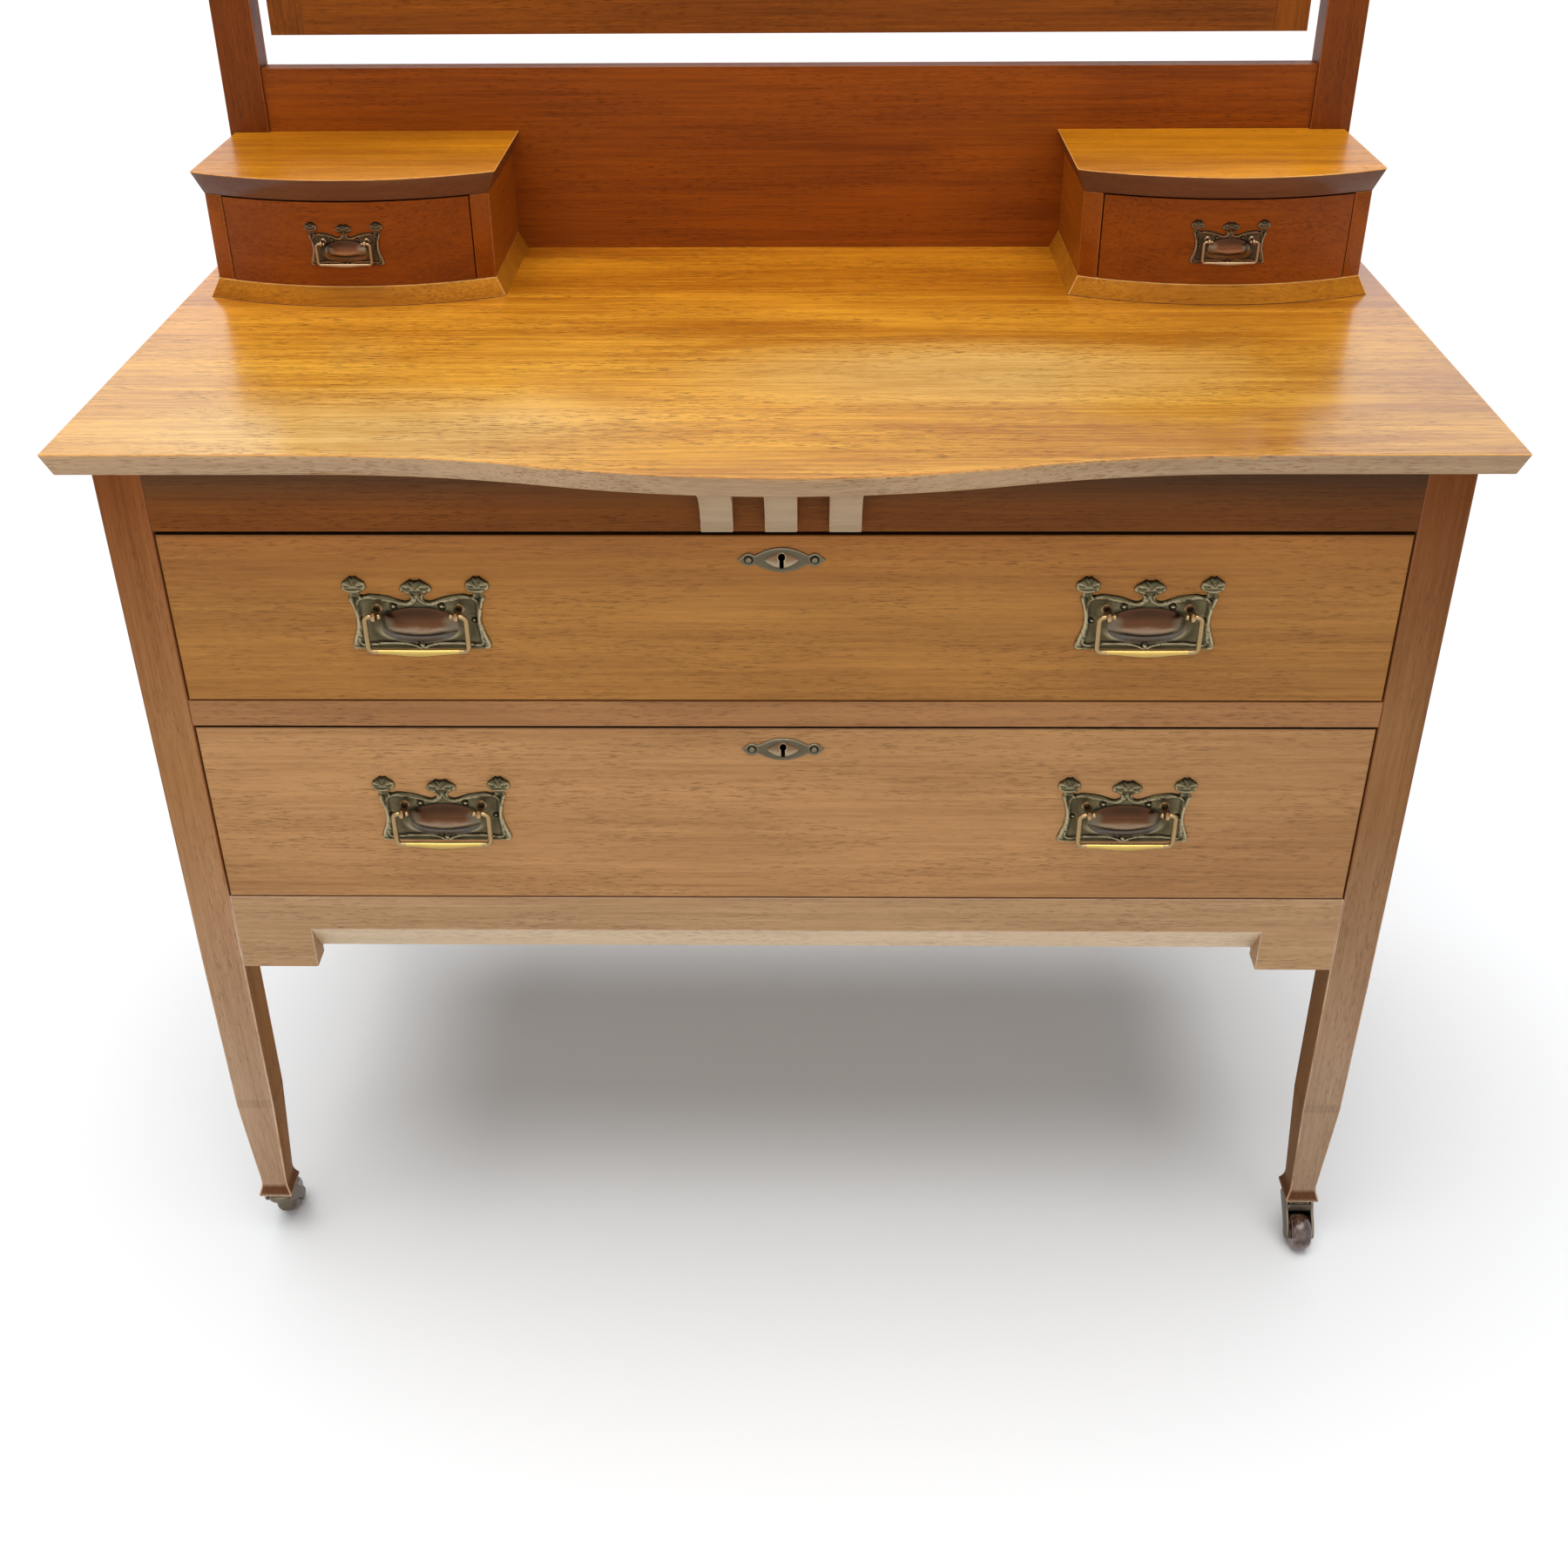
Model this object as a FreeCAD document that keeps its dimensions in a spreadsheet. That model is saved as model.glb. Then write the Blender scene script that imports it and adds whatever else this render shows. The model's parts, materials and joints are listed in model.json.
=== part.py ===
import FreeCAD, Part
import math
import os
import re
import Sketcher

# Driving dimensions in millimetres and degrees.
SIZES = {
    # chest top
    "end_overhang": 26.5,
    "top_thickness": 18,
    "table_height": 825,
    "front_overhang": 22,
    "back_overhang": 6,
    "bow_depth": 39,
    "bow_half_span": 340,
    "edge_bevel": 6,
    # case
    "case_width": 1014,
    "case_depth": 500,
    "post": 36,
    "rail_thickness": 22,
    "frieze_height": 53,
    "upper_opening": 148,
    "middle_rail_height": 23,
    "middle_rail_depth": 70,
    "lower_opening": 171,
    "apron_height": 76,
    "apron_face": 35,
    "apron_bevel_drop": 34,
    "apron_block": 65,
    "corbel_width": 24,
    "corbel_pitch": 47.5,
    "corbel_reach": 43,
    "corbel_rise": 4,
    "corbel_nib": 9,
    "corbel_nib_height": 6,
    "corbel_lip": 5,
    "corbel_radius": 62,
    # legs
    "knee_height": 170,
    "knee_taper": 2,
    "ankle_rise": 19,
    "ankle_taper": 12,
    "foot_flare": 7,
    "foot_edge": 2.5,
    "flare_radius": 30,
    # case sides and back
    "side_setback": 3,
    "side_rail_thickness": 20,
    "side_rail_height": 60,
    "side_panel_thickness": 8,
    "panel_groove": 6,
    "back_rail_height": 60,
    "back_rail_thickness": 18,
    "back_board_thickness": 10,
    "back_board_joint": 2,
    # drawer runners and stops
    "runner_thickness": 16,
    "runner_width": 18,
    "guide_height": 40,
    # long drawers
    "front_thickness": 20,
    "front_edge": 0.8,
    "drawer_side_gap": 1.5,
    "upper_top_gap": 3,
    "lower_top_gap": 2,
    "drawer_lift": 0.3,
    "front_clearance": 1,
    "stop_room": 14,
    "drawer_side": 12,
    "drawer_back": 12,
    "drawer_bottom": 6,
    "bottom_rise": 8,
    "groove_depth": 6,
    "side_drop": 5,
    "dovetail_lap": 6,
    "dovetail_flare": 1.6,
    # locks and escutcheons
    "lock_width": 62,
    "lock_depth": 34,
    "lock_thickness": 9,
    "bolt_width": 24,
    "bolt_thickness": 5,
    "bolt_length": 20,
    "bolt_travel": 7,
    "bolt_fit": 0.1,
    "mortise_room": 1,
    "upper_key_drop": 20,
    "lower_key_drop": 19,
    "key_radius": 2.9,
    "key_slot": 3.3,
    "key_length": 7,
    "plate_half": 33.2,
    "plate_rise": 10.5,
    "plate_thickness": 1.4,
    "ear_place": 24.9,
    "ear_radius": 5.6,
    "ear_join": 20.6,
    "ear_shoulder": 3.7,
    "eye_half": 13,
    "eye_half_rise": 6.4,
    "eye_height": 2.2,
    # drawer handles, large size
    "handle_place": 278.5,
    "upper_handle_rise": 47.8,
    "lower_handle_rise": 60,
    "handle_sheet": 1.4,
    "handle_foot": 44,
    "handle_tip": 53,
    "handle_tip_rise": 5,
    "handle_shoulder": 42.6,
    "waist_radius": 32,
    "collar_outer": 51.6,
    "collar_inner": 41,
    "collar_rise": 49.4,
    "finial_place": 47,
    "finial_half": 9.5,
    "finial_rise": 52.6,
    "finial_top": 63.5,
    "finial_flat": 5,
    "crest_rise": 46.5,
    "crest_fall": 23,
    "crest_fall_rise": 45.7,
    "crest_radius": 22,
    "sweep_radius": 24,
    "stem_half": 4.6,
    "stem_rise": 42.4,
    "stem_top": 46.6,
    "crown_half": 12.3,
    "crown_rise": 50.2,
    "crown_top": 60.5,
    "crown_flat": 6.5,
    "dome_half": 25.5,
    "dome_half_rise": 13,
    "dome_bevel": 4.4,
    "dome_height": 4.6,
    "dome_place": 22,
    "post_place": 31.5,
    "post_rise": 35.5,
    "post_stand": 14,
    "post_width": 5.4,
    "post_radius": 4.1,
    "post_stem": 2.6,
    "bail_half": 38.6,
    "bail_drop": 30.4,
    "bail_wire": 3.6,
    "bail_corner": 3.5,
    "bail_inner": 26.5,
    "grip_half": 31,
    "grip_sag": 2.9,
    "grip_width": 5.2,
    "bail_fit": 0.08,
    # jewel boxes
    "jewel_inset": 21.5,
    "jewel_width": 263,
    "jewel_depth": 145,
    "jewel_bow": 29,
    "jewel_lid": 20,
    "jewel_lid_bevel": 8,
    "jewel_base": 16,
    "jewel_opening": 74,
    "jewel_side": 16,
    "jewel_gap": 1,
    "jewel_end_gap": 0.5,
    "jewel_board": 8,
    "jewel_bottom": 4,
    "jewel_front_set": 13,
    "jewel_handle_rise": 18,
    "jewel_handle_scale": 0.6,
    # mirror and its uprights
    "upright_width": 36.5,
    "upright_depth": 28,
    "upright_back_inset": 3,
    "upright_inset": 16.5,
    "upright_height": 655,
    "upright_cap": 7,
    "splash_setback": 4,
    "splash_thickness": 19,
    "splash_height": 166,
    "mirror_gap": 14.5,
    "mirror_raise": 195,
    "mirror_height": 600,
    "mirror_stile": 31,
    "mirror_rail": 44,
    "mirror_thickness": 22,
    "mirror_rebate": 8,
    "mirror_lip": 9,
    "glass_thickness": 4,
    "glass_bevel": 26,
    "glass_edge": 1.6,
    "mirror_back": 5,
    "pivot_rise": 318,
    "pivot_shaft": 4,
    "pivot_fit": 0.08,
    "pivot_depth": 18,
    "pivot_collar": 9,
    "knob_back": 7,
    "knob_radius": 11,
    "knob_neck": 4,
    "knob_length": 15.5,
    # castors
    "wheel_room": 3.6,
    "socket_half": 14.5,
    "socket_thickness": 3,
    "pintle_radius": 3.5,
    "swivel_fit": 0.08,
    "swivel_gap": 0.4,
    "horn_half": 13.5,
    "horn_crown": 9,
    "horn_width": 27,
    "cheek_half": 8,
    "cheek_lean": 4,
    "cheek_drop": 1,
    "boss_radius": 6.5,
    "boss_flat": 3,
    "castor_trail": 21,
    "wheel_radius": 17,
    "wheel_width": 20,
    "wheel_gap": 0.5,
    "axle_radius": 2.5,
    "axle_fit": 0.08,
    # how far a cut runs past what it cuts
    "overcut": 1,
}

# Places worked out from the driving dimensions.
FORMULAS = {
    "castor_height": "2 * wheel_radius + wheel_room + horn_crown + swivel_gap + socket_thickness",
    "case_front": "(bow_depth + front_overhang - case_depth - back_overhang) / 2",
    "case_back": "case_front + case_depth",
    "top_under": "table_height - top_thickness",
    "top_width": "case_width + 2 * end_overhang",
    "top_front": "case_front - front_overhang",
    "top_back": "case_back + back_overhang",
    "bow_radius": "(bow_half_span * bow_half_span + bow_depth * bow_depth) / (4 * bow_depth)",
    "post_inner": "case_width / 2 - post",
    "knee_width": "post - knee_taper",
    "ankle_width": "post - ankle_taper",
    "foot_width": "ankle_width + foot_flare",
    "leg_x": "case_width / 2 - post / 2",
    "leg_front_y": "case_front + post / 2",
    "leg_back_y": "case_back - post / 2",
    "frieze_bottom": "top_under - frieze_height",
    "middle_top": "frieze_bottom - upper_opening",
    "middle_bottom": "middle_top - middle_rail_height",
    "apron_top": "middle_bottom - lower_opening",
    "apron_bottom": "apron_top - apron_height",
    "front_back": "case_front + front_thickness",
    "drawer_half": "post_inner - drawer_side_gap",
    "side_outer": "case_width / 2 - side_setback",
    "side_inner": "side_outer - side_rail_thickness",
    "rail_span_front": "case_front + post",
    "rail_span_back": "case_back - post",
    "back_face": "case_back - side_setback",
    "drawer_end": "back_face - back_rail_thickness - stop_room",
    "upright_y": "top_back - upright_back_inset - upright_depth",
    "upright_inner": "top_width / 2 - upright_inset - upright_width",
    "upright_top": "table_height + upright_height",
    "splash_front": "upright_y + splash_setback",
    "mirror_width": "2 * (upright_inner - mirror_gap)",
    "mirror_bottom": "table_height + mirror_raise",
    "mirror_mid_y": "upright_y + upright_depth / 2",
    "pivot_z": "mirror_bottom + pivot_rise",
    "jewel_radius": "(jewel_width * jewel_width / 4 + jewel_bow * jewel_bow) / (2 * jewel_bow)",
    "jewel_place": "top_width / 2 - jewel_inset - jewel_width / 2",
    "jewel_centre_y": "splash_front - jewel_depth - jewel_bow + jewel_radius",
    "jewel_floor": "table_height + jewel_base",
    "jewel_roof": "jewel_floor + jewel_opening",
    "jewel_top": "jewel_roof + jewel_lid",
    "jewel_side_outer": "jewel_width / 2 - jewel_lid_bevel",
    "jewel_side_inner": "jewel_side_outer - jewel_side",
    "jewel_face_radius": "jewel_radius - jewel_lid_bevel",
    "jewel_half": "jewel_side_inner - jewel_gap",
    "jewel_inner_y": "splash_front - jewel_depth + jewel_front_set",
    "jewel_end_y": "upright_y - jewel_end_gap",
    "socket_under": "castor_height - socket_thickness",
    "horn_top": "socket_under - swivel_gap",
    "horn_under": "horn_top - horn_crown",
    "bolt_front": "front_back - (lock_thickness + bolt_thickness) / 2",
    "ear_reach": "plate_half - ear_place",
    "ear_tangent_x": "ear_place + ear_radius * ear_radius / ear_reach",
    "ear_tangent_z": "ear_radius * sqrt(1 - ear_radius * ear_radius / (ear_reach * ear_reach))",
}

LEFT, RIGHT = -1, 1
DOVETAILS = 4
TAIL_SHARE = 0.5
BACK_BOARDS = 6
# Degrees that each castor has swung round from trailing straight back.
CASTOR_TURNS = {"front_left": 0, "front_right": 180, "back_left": -90, "back_right": 90}

doc = FreeCAD.newDocument("DressingChest")
sheet = doc.addObject("Spreadsheet::Sheet", "Sizes")
for row, (alias, number) in enumerate(SIZES.items(), start=1):
    sheet.set(f"A{row}", alias)
    sheet.set(f"B{row}", str(number))
    sheet.setAlias(f"B{row}", alias)
doc.recompute()
nodes = []


def expand(formula):
    """Write a formula of size names out as an expression on the sheet."""
    def word(match):
        name = match.group(0)
        if name in FORMULAS:
            return f"({expand(FORMULAS[name])})"
        return f"Sizes.{name}" if name in SIZES else name
    return re.sub(r"[a-z_]+", word, str(formula))


def value(formula):
    return float(sheet.evalExpression(expand(formula)))


def bind(thing, prop, formula):
    thing.setExpression(prop, expand(formula))


def place(thing, x="0", y="0", z="0"):
    for axis, formula in zip("xyz", (x, y, z)):
        bind(thing, f"Placement.Base.{axis}", formula)
    return thing


def turn(thing, axis, degrees):
    thing.Placement = FreeCAD.Placement(FreeCAD.Vector(), FreeCAD.Rotation(FreeCAD.Vector(*axis), degrees))
    return thing


def node(label, *pieces):
    """Name one piece, or a group of separate pieces, as a sub-part."""
    thing = pieces[0]
    if len(pieces) > 1:
        thing = doc.addObject("Part::Compound", label)
        thing.Links = list(pieces)
    thing.Label = label
    nodes.append(thing)
    return thing


def board(name, x, y, z):
    """A straight board that spans three pairs of formulas."""
    box = doc.addObject("Part::Box", name)
    for prop, (low, high) in zip(("Length", "Width", "Height"), (x, y, z)):
        bind(box, prop, f"({high}) - ({low})")
    return place(box, x[0], y[0], z[0])


def both(low, high, side):
    """The span from low to high on one side of the middle plane."""
    return (low, high) if side == RIGHT else (f"-({high})", f"-({low})")


def cylinder(name, radius, length, axis=None):
    rod = doc.addObject("Part::Cylinder", name)
    bind(rod, "Radius", radius)
    bind(rod, "Height", length)
    if axis == "x":
        turn(rod, (0, 1, 0), 90)
    return rod


def cut(name, base, *tools):
    for count, tool in enumerate(tools):
        result = doc.addObject("Part::Cut", f"{name}_cut{count}")
        result.Base = base
        result.Tool = tool
        base = result
    return base


def fuse(name, *pieces):
    whole = doc.addObject("Part::MultiFuse", name)
    whole.Shapes = list(pieces)
    return whole


def new_body(name):
    return doc.addObject("PartDesign::Body", name)


def sketch(body, name, role, offset=None):
    drawing = body.newObject("Sketcher::SketchObject", name)
    plane = next(item for item in body.Origin.OriginFeatures if item.Role == role)
    drawing.AttachmentSupport = [(plane, "")]
    drawing.MapMode = "FlatFace"
    for axis, formula in (offset or {}).items():
        bind(drawing, f"AttachmentOffset.Base.{axis}", formula)
    return drawing


def fix(drawing, kind, *where, formula):
    """Add a dimension to a sketch and tie it to the sheet."""
    index = drawing.addConstraint(Sketcher.Constraint(kind, *where, value(formula)))
    drawing.renameConstraint(index, f"{kind.lower()}_{index}")
    bind(drawing, f"Constraints.{kind.lower()}_{index}", formula)


def arc_edge(start, end, radius, bend):
    """The short arc from start to end that turns left for bend 1 and right for bend -1."""
    chord = end - start
    half = chord.Length / 2
    normal = FreeCAD.Vector(-chord.y, chord.x, 0).normalize()
    centre = start + chord * 0.5 + normal * (bend * math.sqrt(radius * radius - half * half))
    first, last = (start, end) if bend > 0 else (end, start)
    begin = math.atan2(first.y - centre.y, first.x - centre.x)
    finish = math.atan2(last.y - centre.y, last.x - centre.x)
    if finish < begin:
        finish += 2 * math.pi
    return Part.ArcOfCircle(Part.Circle(centre, FreeCAD.Vector(0, 0, 1), radius), begin, finish)


def trace(drawing, path, closed=True):
    """Draw lines and arcs through the points of a path.

    A point is (x, y), reached in a straight line, or (x, y, radius, bend), reached along an arc.
    """
    spots = [FreeCAD.Vector(value(point[0]), value(point[1]), 0) for point in path]
    edges = []
    for index in range(0 if closed else 1, len(path)):
        start, end, point = spots[index - 1], spots[index], path[index]
        if len(point) == 2:
            shape = drawing.addGeometry(Part.LineSegment(start, end), False)
            edges.append((shape, 1, 2))
            continue
        shape = drawing.addGeometry(arc_edge(start, end, value(point[2]), point[3]), False)
        edges.append((shape, 1, 2) if point[3] > 0 else (shape, 2, 1))
        fix(drawing, "Radius", shape, formula=point[2])
    for index, (shape, first, last) in enumerate(edges):
        point = path[index if closed else index + 1]
        fix(drawing, "DistanceX", -1, 1, shape, last, formula=point[0])
        fix(drawing, "DistanceY", -1, 1, shape, last, formula=point[1])
        if index + 1 < len(edges) or closed:
            following = edges[(index + 1) % len(edges)]
            drawing.addConstraint(Sketcher.Constraint("Coincident", shape, last, *following[:2]))
    if not closed:
        fix(drawing, "DistanceX", -1, 1, edges[0][0], edges[0][1], formula=path[0][0])
        fix(drawing, "DistanceY", -1, 1, edges[0][0], edges[0][1], formula=path[0][1])
    return drawing


def ring(drawing, x, y, radius):
    centre = FreeCAD.Vector(value(x), value(y), 0)
    shape = drawing.addGeometry(Part.Circle(centre, FreeCAD.Vector(0, 0, 1), value(radius)), False)
    fix(drawing, "DistanceX", -1, 1, shape, 3, formula=x)
    fix(drawing, "DistanceY", -1, 1, shape, 3, formula=y)
    fix(drawing, "Radius", shape, formula=radius)
    return drawing


def octagon(half):
    """A regular octagon whose corners lie on a circle of radius half."""
    flat = f"({half}) * cos(22.5 deg)"
    corner = f"({half}) * sin(22.5 deg)"
    quarter = [(flat, corner), (corner, flat), (f"-({corner})", flat), (f"-({flat})", corner)]
    return quarter + [(f"-({x})", f"-({y})") for x, y in quarter]


def lens(half_width, half_height):
    """A pointed oval of two arcs."""
    radius = f"(({half_width}) ^ 2 + ({half_height}) ^ 2) / (2 * ({half_height}))"
    return [(f"-({half_width})", "0", radius, 1), (half_width, "0", radius, 1)]


def stadium(half_width, half_height):
    """A long round-ended shape."""
    straight = f"({half_width}) - ({half_height})"
    return [
        (straight, f"-({half_height})"),
        (half_width, "0", half_height, 1),
        (straight, half_height, half_height, 1),
        (f"-({straight})", half_height),
        (f"-({half_width})", "0", half_height, 1),
        (f"-({straight})", f"-({half_height})", half_height, 1),
    ]


def symmetric(half):
    """Complete a path whose last point is on the middle line with its mirror image."""
    whole = list(half)
    for index in range(len(half) - 2, -1, -1):
        bend = half[index + 1][2:]
        whole.append((f"-({half[index][0]})", half[index][1], *bend))
    return whole


def pad(body, name, drawing, length, side="One side", back=False):
    feature = body.newObject("PartDesign::Pad", name)
    feature.Profile = drawing
    bind(feature, "Length", length)
    feature.SideType = side
    feature.Reversed = back
    return feature


def loft(body, name, *sections):
    feature = body.newObject("PartDesign::AdditiveLoft", name)
    feature.Profile = sections[0]
    feature.Sections = list(sections[1:])
    feature.Ruled = True
    return feature


def spin(body, name, drawing, axis):
    feature = body.newObject("PartDesign::Revolution", name)
    feature.Profile = drawing
    feature.ReferenceAxis = (drawing, [axis])
    feature.Angle = 360
    return feature


def raised(body, name, path, low, high, rise="0"):
    """Raise a field on a plate's face from one height to another."""
    outline = sketch(body, f"{name}_outline", "XZ_Plane", {"y": rise, "z": low})
    return pad(body, name, trace(outline, path), f"({high}) - ({low})")


def ease_front(body, feature, size):
    """Bevel the edges of the face that stands furthest forward."""
    feature.recompute(True)
    faces = feature.Shape.Faces
    front = min(range(len(faces)), key=lambda index: faces[index].CenterOfMass.y)
    bevel = body.newObject("PartDesign::Chamfer", f"{body.Name}_arris")
    bevel.Base = (feature, [f"Face{front + 1}"])
    bind(bevel, "Size", size)
    return bevel


def leg(label, x, y):
    """A square post that narrows to a knee and an ankle and flares to a foot, alike on four sides."""
    side = [
        ("post / 2", "top_under"),
        ("post / 2", "apron_bottom"),
        ("knee_width / 2", "knee_height"),
        ("ankle_width / 2", "castor_height + ankle_rise"),
    ]
    foot = ("foot_width / 2", "castor_height + foot_edge", "flare_radius", 1)
    sole = ("foot_width / 2", "castor_height")
    body = new_body(label)
    profile = sketch(body, f"{label}_profile", "XZ_Plane")
    right = [*side, foot, sole]
    left = [(f"-({point[0]})", point[1]) for point in reversed(right)]
    left[2] = (*left[2], "flare_radius", 1)
    trace(profile, right + left)
    pad(body, f"{label}_blank", profile, "post", "Symmetric")
    waste = sketch(body, f"{label}_waste", "YZ_Plane")
    for sign in ("", "-"):
        bend = 1 if sign == "" else -1
        outside = [(f"{sign}(post / 2 + overcut)", "top_under"), (f"{sign}(post / 2)", "top_under")]
        taper = [(f"{sign}({point[0]})", point[1]) for point in side[1:]]
        flare = [(f"{sign}({foot[0]})", foot[1], foot[2], bend), (f"{sign}({sole[0]})", sole[1])]
        trace(waste, [*outside, *taper, *flare, (f"{sign}(post / 2 + overcut)", "castor_height")])
    pocket = body.newObject("PartDesign::Pocket", f"{label}_tapers")
    pocket.Profile = waste
    pocket.Type = "ThroughAll"
    pocket.SideType = "Symmetric"
    return place(body, x, y)


def case_frame():
    """Legs, rails, panels and back of the case."""
    low_rail = ("apron_bottom", "apron_bottom + side_rail_height")
    high_rail = ("top_under - side_rail_height", "top_under")
    panel_z = (f"{low_rail[1]} - panel_groove", f"{high_rail[0]} + panel_groove")
    panel_y = ("rail_span_front - panel_groove", "rail_span_back + panel_groove")
    panel_x = ("side_inner + panel_groove", "side_inner + panel_groove + side_panel_thickness")
    panels, rails = [], []
    for side, word in ((LEFT, "left"), (RIGHT, "right")):
        panel = board(f"panel_{word}", both(*panel_x, side), panel_y, panel_z)
        panels.append(panel)
        for count, level in enumerate((low_rail, high_rail)):
            span = ("rail_span_front", "rail_span_back")
            blank = board(f"side_rail_{word}{count}", both("side_inner", "side_outer", side), span, level)
            rails.append(cut(f"side_rail_{word}{count}", blank, panel))
        for place_word, y in (("front", "leg_front_y"), ("back", "leg_back_y")):
            name = f"{place_word}_leg_{word}"
            blank = leg(f"{name}_blank", "leg_x" if side == RIGHT else "-(leg_x)", y)
            node(name, cut(name, blank, panel))
    node("side_panels", *panels)
    node("side_rails", *rails)
    between = ("-(post_inner)", "post_inner")
    back_y = ("back_face - back_rail_thickness", "back_face")
    low = board("back_rail_low", between, back_y, ("apron_bottom", "apron_bottom + back_rail_height"))
    high = board("back_rail_high", between, back_y, ("top_under - back_rail_height", "top_under"))
    node("back_rails", low, high)
    node("back_boards", *[back_board(count) for count in range(BACK_BOARDS)])


def back_board(count):
    """One upright board of the back, with its long edges bevelled to make V joints."""
    width = f"2 * (post_inner) / {BACK_BOARDS}"
    body = new_body(f"back_board_{count}")
    rear = "back_face - (back_rail_thickness - back_board_thickness) / 2"
    front = f"{rear} - back_board_thickness"
    start, end = f"-(post_inner) + {count} * {width}", f"-(post_inner) + {count + 1} * {width}"
    plan = sketch(body, f"back_board_{count}_plan", "XY_Plane", {"z": "apron_bottom + back_rail_height"})
    trace(plan, [
        (start, front),
        (end, front),
        (end, f"{rear} - back_board_joint"),
        (f"{end} - back_board_joint", rear),
        (f"{start} + back_board_joint", rear),
        (start, f"{rear} - back_board_joint"),
    ])
    height = "top_under - apron_bottom - 2 * back_rail_height"
    pad(body, f"back_board_{count}_length", plan, height)
    return body


def apron():
    """Apron with a stopped bevel between two end blocks."""
    body = new_body("apron_blank")
    section = sketch(body, "apron_section", "YZ_Plane")
    face_bottom = "apron_top - apron_face"
    trace(section, [
        ("case_front", face_bottom),
        ("case_front + rail_thickness", f"{face_bottom} - apron_bevel_drop"),
        ("case_front + rail_thickness", "apron_top"),
        ("case_front", "apron_top"),
    ])
    pad(body, "apron_web", section, "2 * post_inner", "Symmetric")
    blocks = []
    for side, word in ((LEFT, "left"), (RIGHT, "right")):
        span = both("post_inner - apron_block", "post_inner", side)
        depth = ("case_front", "case_front + rail_thickness")
        blocks.append(board(f"apron_block_{word}", span, depth, ("apron_bottom", "apron_top")))
    node("apron_rail", fuse("apron_whole", body, *blocks))


def corbel(count):
    """One of the three brackets under the bow, cut to a hollow curve with a lip and a nib."""
    body = new_body(f"corbel_{count}")
    profile = sketch(body, f"corbel_{count}_profile", "YZ_Plane")
    low = "frieze_bottom + corbel_rise"
    trace(profile, [
        ("case_front", low),
        ("case_front", "top_under"),
        ("case_front - corbel_reach", "top_under"),
        ("case_front - corbel_reach", "top_under - corbel_lip"),
        ("case_front - corbel_nib", f"{low} + corbel_nib_height", "corbel_radius", -1),
        ("case_front - corbel_nib", low),
    ])
    pad(body, f"corbel_{count}_width", profile, "corbel_width", "Symmetric")
    return place(body, f"{count} * corbel_pitch")


def mortise(name, level):
    """The space above a lock that its bolt rises into."""
    return board(
        name,
        ("-bolt_width / 2 - bolt_fit", "bolt_width / 2 + bolt_fit"),
        ("bolt_front - bolt_fit", "bolt_front + bolt_thickness + bolt_fit"),
        (level, f"{level} + bolt_travel + mortise_room"),
    )


def front_rails():
    between = ("-(post_inner)", "post_inner")
    thick = ("case_front", "case_front + rail_thickness")
    frieze = board("frieze_blank", between, thick, ("frieze_bottom", "top_under"))
    node("frieze_rail", cut("frieze", frieze, mortise("frieze_mortise", "frieze_bottom")))
    deep = ("case_front", "case_front + middle_rail_depth")
    middle = board("middle_blank", between, deep, ("middle_bottom", "middle_top"))
    node("middle_rail", cut("middle", middle, mortise("middle_mortise", "middle_bottom")))
    apron()
    node("frieze_corbels", *[corbel(count) for count in (-1, 0, 1)])


def runners():
    """Runner and guide in one L-shaped strip on each side of each long drawer, with a stop at its end."""
    strips, stops = [], []
    for level, floor in (("upper", "middle_top"), ("lower", "apron_top")):
        for side, word in ((LEFT, "left"), (RIGHT, "right")):
            name = f"{level}_{word}"
            front = "middle_rail_depth" if level == "upper" else "rail_thickness"
            length = (f"case_front + {front}", "back_face - back_rail_thickness")
            shelf = both("post_inner - runner_width", "post_inner", side)
            guide_x = both("post_inner", "side_inner", side)
            guide_y = ("rail_span_front", "rail_span_back")
            run = board(f"runner_{name}", shelf, length, (f"{floor} - runner_thickness", floor))
            guide_z = (f"{floor} - runner_thickness", f"{floor} + guide_height")
            guide = board(f"guide_{name}", guide_x, guide_y, guide_z)
            strips.append(fuse(f"runner_guide_{name}", run, guide))
            stop_y = ("drawer_end + drawer_lift", "back_face - back_rail_thickness")
            stops.append(board(f"stop_{name}", shelf, stop_y, (floor, f"{floor} + guide_height")))
    node("drawer_runners", *strips)
    node("drawer_stops", *stops)


def serpentine(inset):
    """Outline of the chest top, drawn in by inset on the front and the two ends."""
    sine = "bow_half_span / (2 * bow_radius)"
    cosine = "(bow_radius - bow_depth / 2) / bow_radius"
    front = f"top_front + {inset}"
    turn_x = f"bow_half_span / 2 - {inset} * {sine}"
    turn_y = f"top_front - bow_depth / 2 + {inset} * {cosine}"
    hollow, swell = f"bow_radius + {inset}", f"bow_radius - {inset}"
    end = f"top_width / 2 - {inset}"
    rear = "top_back + overcut"
    return [
        (f"-({end})", rear),
        (f"-({end})", front),
        ("-bow_half_span", front),
        (f"-({turn_x})", turn_y, hollow, -1),
        (turn_x, turn_y, swell, 1),
        ("bow_half_span", front, hollow, -1),
        (end, front),
        (end, rear),
    ]


def chest_top():
    """Serpentine board with an under-bevelled edge, sawn off square at the back."""
    body = new_body("chest_top_blank")
    under = trace(sketch(body, "top_under_plan", "XY_Plane", {"z": "top_under"}), serpentine("edge_bevel"))
    upper = trace(sketch(body, "top_upper_plan", "XY_Plane", {"z": "table_height"}), serpentine("0"))
    loft(body, "top_board", under, upper)
    waste = board(
        "top_waste",
        ("-(top_width) / 2", "top_width / 2"),
        ("top_back", "top_back + 2 * overcut"),
        ("top_under - overcut", "table_height + overcut"),
    )
    node("chest_top", cut("chest_top", body, waste))


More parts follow.
